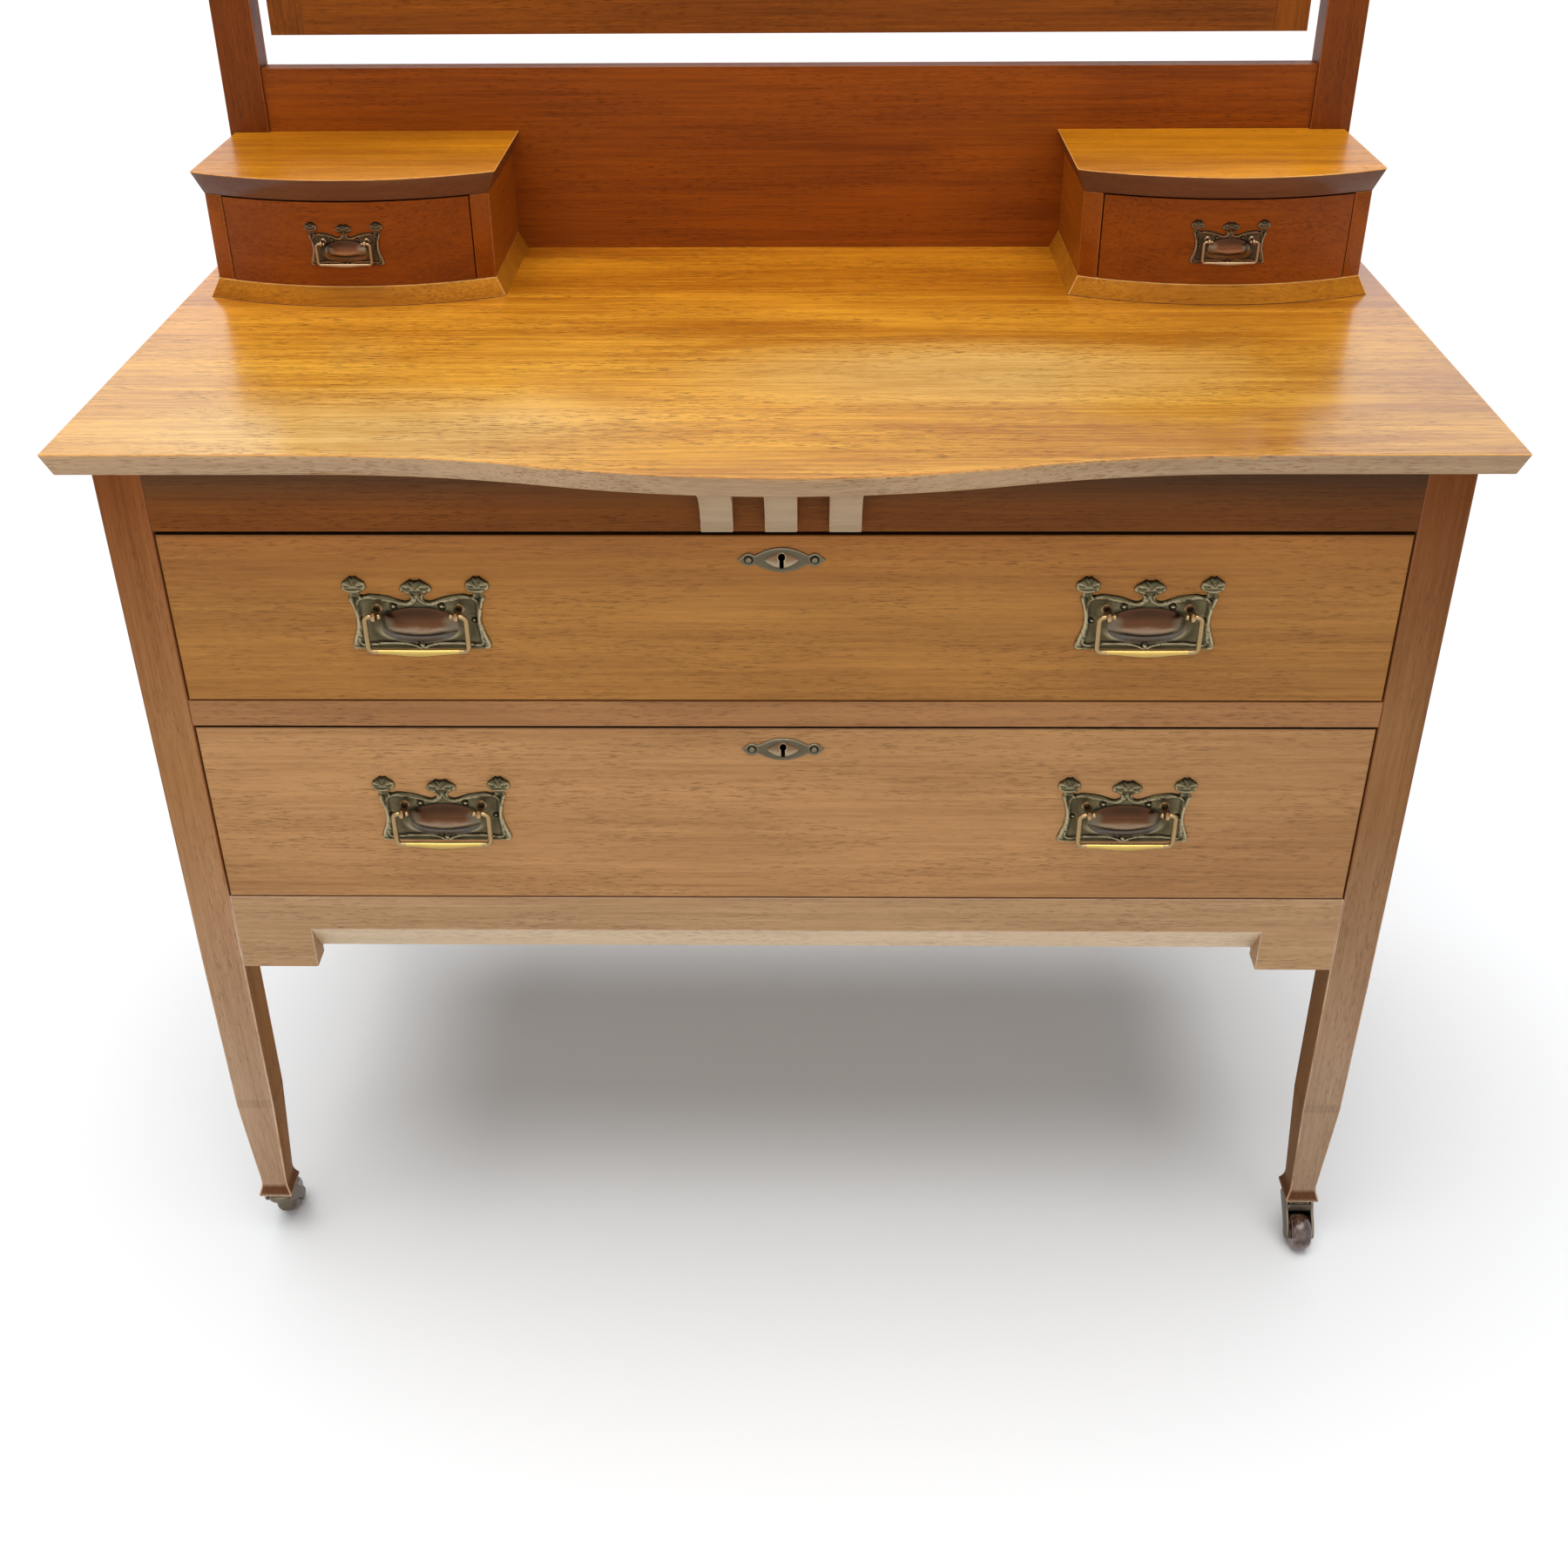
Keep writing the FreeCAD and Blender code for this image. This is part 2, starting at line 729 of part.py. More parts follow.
def keyhole_path():
    shoulder = "key_radius - sqrt(key_radius * key_radius - key_slot * key_slot / 4)"
    return symmetric([
        ("key_slot / 2", "-key_length"),
        ("key_slot / 2", shoulder),
        ("0", "2 * key_radius", "key_radius", 1),
    ])


def keyhole(name, height):
    """The shape of a keyhole, long enough to pass through a drawer front."""
    body = new_body(name)
    outline = trace(sketch(body, f"{name}_outline", "XZ_Plane"), keyhole_path())
    pad(body, f"{name}_depth", outline, "2 * front_thickness", "Symmetric")
    return place(body, "0", "case_front", height)


def escutcheon(name, height):
    """A keyhole plate with two round ears, pointed ends and a raised eye."""
    body = new_body(name)
    outline = sketch(body, f"{name}_outline", "XZ_Plane")
    reach = "(plate_rise - ear_shoulder)"
    swell = f"(ear_join * ear_join + {reach} * {reach}) / (2 * {reach})"
    half = [
        ("ear_join", "-ear_shoulder", swell, 1),
        ("ear_tangent_x", "-(ear_tangent_z)", "ear_radius", 1),
        ("plate_half", "0"),
        ("ear_tangent_x", "ear_tangent_z"),
        ("ear_join", "ear_shoulder", "ear_radius", 1),
        ("0", "plate_rise", swell, 1),
    ]
    trace(outline, [("0", "-plate_rise", swell, 1), *symmetric(half)])
    pad(body, f"{name}_sheet", outline, "plate_thickness")
    raised(body, f"{name}_eye", lens("eye_half", "eye_half_rise"), "plate_thickness", "eye_height")
    hole = body.newObject("PartDesign::Pocket", f"{name}_hole")
    hole.Profile = trace(sketch(body, f"{name}_hole_outline", "XZ_Plane"), keyhole_path())
    hole.Type = "ThroughAll"
    hole.Reversed = True
    return place(body, "0", "case_front", height)


def lock(name, front_top):
    """Lock case let into the back of a drawer front, and the bolt that slides up out of it."""
    case = board(
        f"{name}_case",
        ("-lock_width / 2", "lock_width / 2"),
        ("front_back - lock_thickness", "front_back"),
        (f"{front_top} - lock_depth", front_top),
    )
    slot = board(
        f"{name}_slot",
        ("-bolt_width / 2 - bolt_fit", "bolt_width / 2 + bolt_fit"),
        ("bolt_front - bolt_fit", "bolt_front + bolt_thickness + bolt_fit"),
        (f"{front_top} - bolt_length - bolt_travel", front_top),
    )
    bolt = board(
        f"{name}_bolt",
        ("-bolt_width / 2", "bolt_width / 2"),
        ("bolt_front", "bolt_front + bolt_thickness"),
        (f"{front_top} - bolt_length", front_top),
    )
    return case, cut(name, case, slot), bolt


def drawer_side(name, side, low, high):
    """A drawer side with dovetails at its front end that lap into the drawer front."""
    body = new_body(name)
    outline = sketch(body, f"{name}_outline", "YZ_Plane")
    tip = "case_front + dovetail_lap"
    pitch = f"(({high}) - ({low})) / {DOVETAILS}"
    path = [("front_back", low), ("drawer_end", low), ("drawer_end", high), ("front_back", high)]
    for count in range(DOVETAILS - 1, -1, -1):
        bottom = f"({low}) + ({count} + {(1 - TAIL_SHARE) / 2}) * {pitch}"
        top = f"({low}) + ({count} + {(1 + TAIL_SHARE) / 2}) * {pitch}"
        path += [
            ("front_back", top),
            (tip, f"{top} + dovetail_flare"),
            (tip, f"{bottom} - dovetail_flare"),
            ("front_back", bottom),
        ]
    trace(outline, path)
    pad(body, f"{name}_board", outline, "drawer_side")
    return place(body, "drawer_half - drawer_side" if side == RIGHT else "-(drawer_half)")


def long_drawer(name, floor, ceiling, top_gap, key_drop, handle_rise):
    """A long drawer: dovetailed box, lock, escutcheon and two bail handles."""
    low = f"{floor} + drawer_lift"
    high = f"{ceiling} - {top_gap}"
    key_z = f"{high} - {key_drop}"
    body = new_body(f"{name}_front_blank")
    face = sketch(body, f"{name}_face", "XZ_Plane", {"z": "-(case_front)"})
    trace(face, symmetric_box("drawer_half", f"{low} + front_clearance", high))
    ease_front(body, pad(body, f"{name}_board", face, "front_thickness", back=True), "front_edge")
    sheet_z = (f"{low} + bottom_rise", f"{low} + bottom_rise + drawer_bottom")
    inner = "drawer_half - drawer_side"
    bottom_x = (f"-({inner} + groove_depth)", f"{inner} + groove_depth")
    bottom = board(f"{name}_bottom_board", bottom_x, ("front_back - groove_depth", "drawer_end"), sheet_z)
    raw = [drawer_side(f"{name}_side_{word}", side, low, f"{high} - side_drop")
           for side, word in ((LEFT, "left"), (RIGHT, "right"))]
    back_y = ("drawer_end - drawer_back", "drawer_end")
    back = board(f"{name}_back", (f"-({inner})", inner), back_y, (sheet_z[1], f"{high} - side_drop"))
    case, lock_case, bolt = lock(f"{name}_lock", high)
    hole = keyhole(f"{name}_keyhole", key_z)
    node(f"{name}_front", cut(f"{name}_front", body, *raw, bottom, case, hole))
    node(f"{name}_box", *[cut(f"{side.Name}_grooved", side, bottom) for side in raw], back)
    node(f"{name}_bottom", bottom)
    node(f"{name}_escutcheon", escutcheon(f"{name}_plate", key_z))
    node(f"{name}_lock", lock_case)
    node(f"{name}_lock_bolt", bolt)
    fittings = []
    for side, word in ((LEFT, "left"), (RIGHT, "right")):
        spot = (f"{side} * handle_place", "case_front", f"{low} + {handle_rise}")
        fittings += handle_plate(f"{name}_{word}", spot, "1")
        node(f"{name}_bail_{word}", bail(f"{name}_bail_{word}_wire", spot, "1"))
    node(f"{name}_handles", *fittings)


def symmetric_box(half, low, high):
    return [(f"-({half})", low), (half, low), (half, high), (f"-({half})", high)]


def handle_plate(name, spot, scale):
    """A pressed backplate with a waisted outline, three finials and a swelled middle, and its eye posts."""
    def sized(*point):
        bend = (f"{scale} * {point[2]}", point[3]) if len(point) > 2 else ()
        return (f"{scale} * ({point[0]})", f"{scale} * ({point[1]})", *bend)

    body = new_body(f"{name}_sheet")
    outline = sketch(body, f"{name}_outline", "XZ_Plane")
    trace(outline, symmetric([
        sized("handle_foot", "0"),
        sized("handle_tip", "handle_tip_rise", "handle_tip", 1),
        sized("handle_tip", "handle_shoulder", "waist_radius", -1),
        sized("collar_outer", "collar_rise"),
        sized("finial_place + finial_half", "finial_rise"),
        sized("finial_place + finial_flat", "finial_top"),
        sized("finial_place - finial_flat", "finial_top"),
        sized("finial_place - finial_half", "finial_rise"),
        sized("collar_inner", "collar_rise"),
        sized("collar_inner", "crest_rise"),
        sized("crest_fall", "crest_fall_rise", "crest_radius", 1),
        sized("stem_half", "stem_rise", "sweep_radius", -1),
        sized("stem_half", "stem_top"),
        sized("crown_half", "crown_rise"),
        sized("crown_flat", "crown_top"),
        sized("0", "crown_top"),
    ]))
    pad(body, f"{name}_press", outline, "handle_sheet")
    oval = stadium(f"{scale} * dome_half", f"{scale} * dome_half_rise")
    heights = ("handle_sheet", f"handle_sheet + {scale} * dome_height")
    swell = raised(body, f"{name}_swell", oval, *heights, f"{scale} * dome_place")
    ease_front(body, swell, f"{scale} * dome_bevel")
    posts = [eye_post(f"{name}_eye{side + 1}", spot, scale, side) for side in (LEFT, RIGHT)]
    return [place(body, *spot), *posts]


def eye_post(name, spot, scale, side):
    """A stem with an eight-sided end, bored for the end of the bail."""
    x, y, z = spot
    body = new_body(name)
    profile = sketch(body, f"{name}_profile", "YZ_Plane")
    stand, stem, radius = (f"{scale} * post_{word}" for word in ("stand", "stem", "radius"))
    corner = f"{radius} * tan(22.5 deg)"
    upper = [
        ("-handle_sheet", stem),
        (f"-{stand} + {radius} + {corner} - {stem}", stem),
        (f"-{stand} + {corner}", radius),
        (f"-{stand} - {corner}", radius),
        (f"-{stand} - {radius}", corner),
    ]
    trace(profile, upper + [(along, f"-({across})") for along, across in reversed(upper)])
    ring(profile, f"-{stand}", "0", f"{scale} * bail_wire / 2 + bail_fit")
    pad(body, f"{name}_width", profile, f"{scale} * post_width", "Symmetric")
    return place(body, f"{x} + {side} * {scale} * post_place", y, f"{z} + {scale} * post_rise")


def bail(name, spot, scale):
    """A bent rod that hangs from two eyes, with a leaf-shaped grip along its bottom."""
    body = new_body(name)
    route = sketch(body, f"{name}_route", "XZ_Plane")
    half = [
        ("bail_inner", "0"),
        ("bail_half - bail_corner", "0"),
        ("bail_half", "-bail_corner"),
        ("bail_half", "bail_corner - bail_drop"),
        ("bail_half - bail_corner", "-bail_drop"),
    ]
    right = [(f"{scale} * ({x})", f"{scale} * ({y})") for x, y in half]
    left = [(f"-({x})", y) for x, y in right]
    trace(route, [*left, *reversed(right)], closed=False)
    wire = f"{scale} * bail_wire / 2"
    section = sketch(body, f"{name}_section", "YZ_Plane", {"z": f"-{scale} * bail_inner"})
    trace(section, octagon(wire))
    pipe = body.newObject("PartDesign::AdditivePipe", f"{name}_bend")
    pipe.Profile = section
    pipe.Spine = (route, [f"Edge{count + 1}" for count in range(2 * len(half) - 1)])
    pipe.Transition = "Right corner"
    end = f"{scale} * grip_half"
    bow = f"{scale} * (grip_half ^ 2 + grip_sag ^ 2) / (2 * grip_sag)"
    leaf = sketch(body, f"{name}_leaf", "XZ_Plane", {"y": f"-{scale} * bail_drop"})
    trace(leaf, [(f"-{end}", wire), (f"-{end}", f"-{wire}"), (end, f"-{wire}", bow, 1), (end, wire)])
    pad(body, f"{name}_grip", leaf, f"{scale} * grip_width", "Symmetric")
    x, y, z = spot
    return place(body, x, f"{y} - {scale} * post_stand", f"{z} + {scale} * post_rise")


def jewel_outline(side, inset):
    """Plan of a jewel box lid or base, with a bowed front and a step in the back round the upright."""
    half = f"(jewel_width / 2 - {inset})"
    radius = f"(jewel_radius - {inset})"
    corner = f"jewel_centre_y - sqrt({radius} * {radius} - {half} * {half})"
    step = "upright_inner - jewel_place"
    path = [
        (f"-{half}", "splash_front"),
        (f"-{half}", corner),
        (half, corner, radius, 1),
        (half, "upright_y"),
        (step, "upright_y"),
        (step, "splash_front"),
    ]
    if side == RIGHT:
        return path
    flipped = [(f"-({point[0]})", point[1]) for point in reversed(path)]
    flipped[4] = (*flipped[4], radius, 1)
    return flipped


def jewel_box(word, side):
    """One small drawer box on the chest top: base, two sides and a lid with bevelled edges."""
    middle = f"{side} * jewel_place"
    shapes = {}
    for part, low, high, wide_at_top in (
        ("base", "table_height", "jewel_floor", False),
        ("lid", "jewel_roof", "jewel_top", True),
    ):
        body = new_body(f"{word}_jewel_{part}")
        insets = ("jewel_lid_bevel", "0") if wide_at_top else ("0", "jewel_lid_bevel")
        plans = []
        for level, inset in zip((low, high), insets):
            plan = sketch(body, f"{body.Name}_plan{len(plans)}", "XY_Plane", {"z": level})
            plans.append(trace(plan, jewel_outline(side, inset)))
        loft(body, f"{body.Name}_board", *plans)
        shapes[part] = place(body, middle)
    shapes["sides"] = [jewel_side(f"{word}_jewel_side{outer}", side, outer) for outer in (-1, 1)]
    for piece in shapes["sides"]:
        place(piece, middle)
    return shapes


def jewel_side(name, side, outer):
    """A side of a jewel box, its front end cut to the bow and its back against the splash or upright."""
    body = new_body(name)
    plan = sketch(body, f"{name}_plan", "XY_Plane", {"z": "jewel_floor"})
    radius = "jewel_face_radius"

    def bow(across):
        return f"jewel_centre_y - sqrt({radius} * {radius} - ({across}) * ({across}))"

    back = "upright_y" if outer == side else "splash_front"
    inner_x, outer_x = "jewel_side_inner", "jewel_side_outer"
    if outer > 0:
        path = [
            (inner_x, back),
            (inner_x, bow(inner_x)),
            (outer_x, bow(outer_x), radius, 1),
            (outer_x, back),
        ]
    else:
        path = [
            (f"-({outer_x})", back),
            (f"-({outer_x})", bow(outer_x)),
            (f"-({inner_x})", bow(inner_x), radius, 1),
            (f"-({inner_x})", back),
        ]
    trace(plan, path)
    pad(body, f"{name}_board", plan, "jewel_opening")
    return body


def jewel_drawer(word, side):
    """A small drawer with a bowed front, a plain box and one bail handle."""
    name = f"{word}_jewel"
    middle = f"{side} * jewel_place"
    low, high = "jewel_floor + drawer_lift", "jewel_roof - jewel_gap"
    body = new_body(f"{name}_front_board")
    plan = sketch(body, f"{name}_front_plan", "XY_Plane", {"z": low})
    radius = "jewel_face_radius"
    ends = f"jewel_centre_y - sqrt({radius} * {radius} - jewel_half * jewel_half)"
    trace(plan, [
        ("-(jewel_half)", "jewel_inner_y"),
        ("-(jewel_half)", ends),
        ("jewel_half", ends, radius, 1),
        ("jewel_half", "jewel_inner_y"),
    ])
    pad(body, f"{name}_front_length", plan, f"({high}) - ({low})")
    front = place(body, middle)
    node(f"{name}_drawer_front", front)
    inner = "jewel_half - jewel_board"
    top = f"{high} - side_drop"
    floor = f"{low} + jewel_bottom"
    long_y = ("jewel_inner_y", "jewel_end_y")
    pieces = [
        board(f"{name}_wall_left", (f"{middle} - jewel_half", f"{middle} - ({inner})"), long_y, (low, top)),
        board(f"{name}_wall_right", (f"{middle} + {inner}", f"{middle} + jewel_half"), long_y, (low, top)),
        board(f"{name}_wall_back", (f"{middle} - ({inner})", f"{middle} + {inner}"),
              ("jewel_end_y - jewel_board", "jewel_end_y"), (floor, top)),
        board(f"{name}_floor", (f"{middle} - ({inner})", f"{middle} + {inner}"), long_y, (low, floor)),
    ]
    node(f"{name}_drawer_box", *pieces)
    spot = (middle, "jewel_centre_y - jewel_face_radius", f"{low} + jewel_handle_rise")
    node(f"{name}_handle", *handle_plate(f"{name}_pull", spot, "jewel_handle_scale"))
    node(f"{name}_bail", bail(f"{name}_bail_wire", spot, "jewel_handle_scale"))


def jewel_boxes():
    boxes = [jewel_box(word, side) for word, side in (("left", LEFT), ("right", RIGHT))]
    node("jewel_bases", *[box["base"] for box in boxes])
    node("jewel_sides", *[piece for box in boxes for piece in box["sides"]])
    node("jewel_lids", *[box["lid"] for box in boxes])
    jewel_drawer("left", LEFT)
    jewel_drawer("right", RIGHT)


def uprights():
    """Mirror uprights with bevelled tops and pivot bores, and the splash board between them."""
    for side, word in ((LEFT, "left"), (RIGHT, "right")):
        body = new_body(f"upright_{word}_post")
        span = both("upright_inner", "upright_inner + upright_width", side)
        depth = ("upright_y", "upright_y + upright_depth")
        base = sketch(body, f"upright_{word}_plan", "XY_Plane", {"z": "table_height"})
        trace(base, [(span[0], depth[0]), (span[1], depth[0]), (span[1], depth[1]), (span[0], depth[1])])
        shaft = pad(body, f"upright_{word}_length", base, "upright_top - table_height")
        shaft.recompute(True)
        faces = shaft.Shape.Faces
        top = max(range(len(faces)), key=lambda index: faces[index].CenterOfMass.z)
        cap = body.newObject("PartDesign::Chamfer", f"upright_{word}_cap")
        cap.Base = (shaft, [f"Face{top + 1}"])
        bind(cap, "Size", "upright_cap")
        through = "upright_width + 2 * overcut"
        bore = cylinder(f"upright_{word}_bore", "pivot_shaft + pivot_fit", through, "x")
        place(bore, f"{span[0]} - overcut", "mirror_mid_y", "pivot_z")
        node(f"upright_{word}", cut(f"upright_{word}", body, bore))
    node("splash_board", board(
        "splash",
        ("-upright_inner", "upright_inner"),
        ("splash_front", "splash_front + splash_thickness"),
        ("table_height", "table_height + splash_height"),
    ))


def mirror():
    """Swing mirror: rebated frame, bevelled glass, back board and two pivots with turned knobs."""
    front = "mirror_mid_y - mirror_thickness / 2"
    back = "mirror_mid_y + mirror_thickness / 2"
    low, high = "mirror_bottom", "mirror_bottom + mirror_height"
    glass_x = "mirror_width / 2 - mirror_stile + mirror_rebate"
    glass_z = (f"{low} + mirror_rail - mirror_rebate", f"{high} - mirror_rail + mirror_rebate")
    rebate_y = (f"{front} + mirror_lip", f"{back} + overcut")
    rebate = board("mirror_rebate_space", (f"-({glass_x})", glass_x), rebate_y, glass_z)
    members = []
    for side, word in ((LEFT, "left"), (RIGHT, "right")):
        span = both("mirror_width / 2 - mirror_stile", "mirror_width / 2", side)
        stile = board(f"stile_{word}", span, (front, back), (low, high))
        hole = cylinder(f"stile_{word}_hole", "pivot_shaft", "pivot_depth", "x")
        start = "mirror_width / 2 - pivot_depth" if side == RIGHT else "-mirror_width / 2"
        place(hole, start, "mirror_mid_y", "pivot_z")
        members.append(cut(f"stile_{word}", stile, rebate, hole))
    inside = ("-(mirror_width / 2 - mirror_stile)", "mirror_width / 2 - mirror_stile")
    for word, level in (("low", (low, f"{low} + mirror_rail")), ("high", (f"{high} - mirror_rail", high))):
        rail = board(f"mirror_rail_{word}", inside, (front, back), level)
        members.append(cut(f"mirror_rail_{word}", rail, rebate))
    node("mirror_frame", *members)
    glass = new_body("mirror_glass")
    glass_back = f"{front} + mirror_lip + glass_thickness"
    face = sketch(glass, "glass_back_face", "XZ_Plane", {"z": f"-({glass_back})"})
    trace(face, symmetric_box(glass_x, *glass_z))
    rim = sketch(glass, "glass_rim", "XZ_Plane", {"z": f"-({glass_back}) + glass_edge"})
    trace(rim, symmetric_box(glass_x, *glass_z))
    field = sketch(glass, "glass_field", "XZ_Plane", {"z": f"-({glass_back}) + glass_thickness"})
    trace(field, symmetric_box(
        f"{glass_x} - glass_bevel", f"{glass_z[0]} + glass_bevel", f"{glass_z[1]} - glass_bevel"))
    loft(glass, "glass_plate", face, rim, field)
    node("mirror_glass", glass)
    behind = (glass_back, f"{glass_back} + mirror_back")
    node("mirror_back_board", board("mirror_backing", (f"-({glass_x})", glass_x), behind, glass_z))
    node("mirror_pivots", *[pivot(word, side) for word, side in (("left", LEFT), ("right", RIGHT))])


def pivot(word, side):
    """A turned pivot: pin in the stile, collar in the gap, shaft through the upright, knob outside."""
    body = new_body(f"pivot_{word}")
    profile = sketch(body, f"pivot_{word}_profile", "XZ_Plane")
    outside = "upright_inner + upright_width + swivel_gap"
    trace(profile, [
        ("mirror_width / 2 - pivot_depth", "0"),
        (f"{outside} + knob_length", "0"),
        (f"{outside} + knob_length", "knob_radius"),
        (f"{outside} + knob_neck", "knob_radius"),
        (f"{outside} + knob_neck", "knob_back"),
        (outside, "knob_back"),
        (outside, "pivot_shaft"),
        ("upright_inner - swivel_gap", "pivot_shaft"),
        ("upright_inner - swivel_gap", "pivot_collar"),
        ("mirror_width / 2", "pivot_collar"),
        ("mirror_width / 2", "pivot_shaft"),
        ("mirror_width / 2 - pivot_depth", "pivot_shaft"),
    ])
    spin(body, f"pivot_{word}_turning", profile, "H_Axis")
    if side == LEFT:
        turn(body, (0, 0, 1), 180)
    return place(body, "0", "mirror_mid_y", "pivot_z")


def castor(name, x, y, degrees):
    """Socket and pintle under a foot, and the horn and wheel that swivel round the pintle."""
    plate = slab(f"{name}_plate", "socket_half", "socket_under", "socket_thickness")
    place(plate, x, y)
    pintle = cylinder(f"{name}_pintle", "pintle_radius", "horn_crown + swivel_gap")
    place(pintle, x, y, "horn_under")
    node(f"{name}_horn", swivelled(f"{name}_horn", x, y, degrees, horn(name)))
    node(f"{name}_wheel", swivelled(f"{name}_wheel", x, y, degrees, wheel(name)))
    return fuse(f"{name}_socket", plate, pintle)


def swivelled(name, x, y, degrees, piece):
    """Turn a castor's piece about the pintle and set it under its foot."""
    group = doc.addObject("Part::Compound", f"{name}_turned")
    group.Links = [piece]
    turn(group, (0, 0, 1), degrees)
    return place(group, x, y)


def slab(name, half, floor, height):
    """An eight-sided plate."""
    body = new_body(name)
    plan = trace(sketch(body, f"{name}_plan", "XY_Plane", {"z": floor}), octagon(half))
    pad(body, f"{name}_height", plan, height)
    return body


def horn(name):
    """Crown and two cheeks that trail back to the axle, with the axle fast between them."""
    crown = slab(f"{name}_crown", "horn_half", "horn_under", "horn_crown")
    body = new_body(f"{name}_cheeks")
    profile = sketch(body, f"{name}_cheek_profile", "YZ_Plane")
    trace(profile, [
        ("cheek_half", "horn_top - cheek_drop"),
        ("-cheek_half", "horn_top - cheek_drop"),
        ("-cheek_half", "horn_under"),
        ("castor_trail - boss_radius", "wheel_radius"),
        ("castor_trail - boss_flat", "wheel_radius - boss_radius"),
        ("castor_trail + boss_flat", "wheel_radius - boss_radius"),
        ("castor_trail + boss_radius", "wheel_radius"),
        ("cheek_half + cheek_lean", "horn_under"),
    ])
    pad(body, f"{name}_cheek_width", profile, "horn_width", "Symmetric")
    room = board(
        f"{name}_room",
        ("-wheel_width / 2 - wheel_gap", "wheel_width / 2 + wheel_gap"),
        ("-horn_half - overcut", "castor_trail + 2 * wheel_radius"),
        ("0", "horn_under"),
    )
    bore = cylinder(f"{name}_bore", "pintle_radius + swivel_fit", "horn_crown")
    place(bore, "0", "0", "horn_under")
    axle = cylinder(f"{name}_axle", "axle_radius", "wheel_width + 2 * wheel_gap", "x")
    place(axle, "-wheel_width / 2 - wheel_gap", "castor_trail", "wheel_radius")
    fork = cut(f"{name}_fork", fuse(f"{name}_fork_whole", crown, body), room, bore)
    return fuse(f"{name}_fork_axle", fork, axle)


def wheel(name):
    """A roller bored for its axle."""
    body = new_body(f"{name}_roller")
    profile = sketch(body, f"{name}_roller_profile", "XZ_Plane")
    trace(profile, [
        ("wheel_width / 2", "axle_radius + axle_fit"),
        ("wheel_width / 2", "wheel_radius"),
        ("-wheel_width / 2", "wheel_radius"),
        ("-wheel_width / 2", "axle_radius + axle_fit"),
    ])
    spin(body, f"{name}_roller_turning", profile, "H_Axis")
    return place(body, "0", "castor_trail", "wheel_radius")


def castors():
    sockets = [
        castor("castor_front_left", "-(leg_x)", "leg_front_y", CASTOR_TURNS["front_left"]),
        castor("castor_front_right", "leg_x", "leg_front_y", CASTOR_TURNS["front_right"]),
        castor("castor_back_left", "-(leg_x)", "leg_back_y", CASTOR_TURNS["back_left"]),
        castor("castor_back_right", "leg_x", "leg_back_y", CASTOR_TURNS["back_right"]),
    ]
    node("castor_sockets", *sockets)


def check():
    """Stop if any object failed or any sub-part has no sound shape."""
    for thing in doc.Objects:
        if {"Invalid", "Error"} & set(thing.State):
            raise SystemExit(f"{thing.Name} failed: {thing.State}")
    for thing in nodes:
        if thing.Shape.isNull() or not thing.Shape.isValid() or not thing.Shape.Solids:
            raise SystemExit(f"{thing.Label} has no sound shape")


case_frame()
front_rails()
runners()
chest_top()
openings = {"upper": ("middle_top", "frieze_bottom"), "lower": ("apron_top", "middle_bottom")}
for level, (floor, ceiling) in openings.items():
    sizes = [f"{level}_{word}" for word in ("top_gap", "key_drop", "handle_rise")]
    long_drawer(f"{level}_drawer", floor, ceiling, *sizes)
jewel_boxes()
uprights()
mirror()
castors()
doc.recompute()
check()
os.makedirs("parts", exist_ok=True)
for thing in nodes:
    thing.Shape.exportStep(os.path.join("parts", f"{thing.Label}.step"))
print(len(nodes), "sub-parts written")
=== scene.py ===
"""Dressing chest with a swing mirror: finishes, fittings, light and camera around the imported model."""
import json
import math

import bmesh
import bpy
import numpy as np
from mathutils import Matrix, Vector
from mathutils.geometry import delaunay_2d_cdt


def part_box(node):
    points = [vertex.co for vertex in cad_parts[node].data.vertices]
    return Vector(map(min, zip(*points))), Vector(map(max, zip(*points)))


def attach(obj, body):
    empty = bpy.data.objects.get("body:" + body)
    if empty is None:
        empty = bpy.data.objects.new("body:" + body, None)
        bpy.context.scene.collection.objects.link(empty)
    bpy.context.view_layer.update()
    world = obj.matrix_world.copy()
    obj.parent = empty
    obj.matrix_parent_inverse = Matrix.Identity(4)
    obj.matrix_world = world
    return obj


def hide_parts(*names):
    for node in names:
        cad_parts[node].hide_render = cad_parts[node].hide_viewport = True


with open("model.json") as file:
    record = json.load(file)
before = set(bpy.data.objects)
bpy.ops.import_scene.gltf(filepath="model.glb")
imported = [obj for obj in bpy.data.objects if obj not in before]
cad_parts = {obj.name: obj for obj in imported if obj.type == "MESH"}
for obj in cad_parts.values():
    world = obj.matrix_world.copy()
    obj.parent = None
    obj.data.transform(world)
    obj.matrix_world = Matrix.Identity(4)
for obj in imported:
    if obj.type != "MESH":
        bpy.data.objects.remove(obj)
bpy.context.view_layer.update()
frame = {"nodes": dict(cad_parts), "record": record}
nodes = frame["nodes"]
body_of = {node: body for body, held in frame["record"]["behaviour"]["bodies"].items()
           for node in held}

MM = 0.001


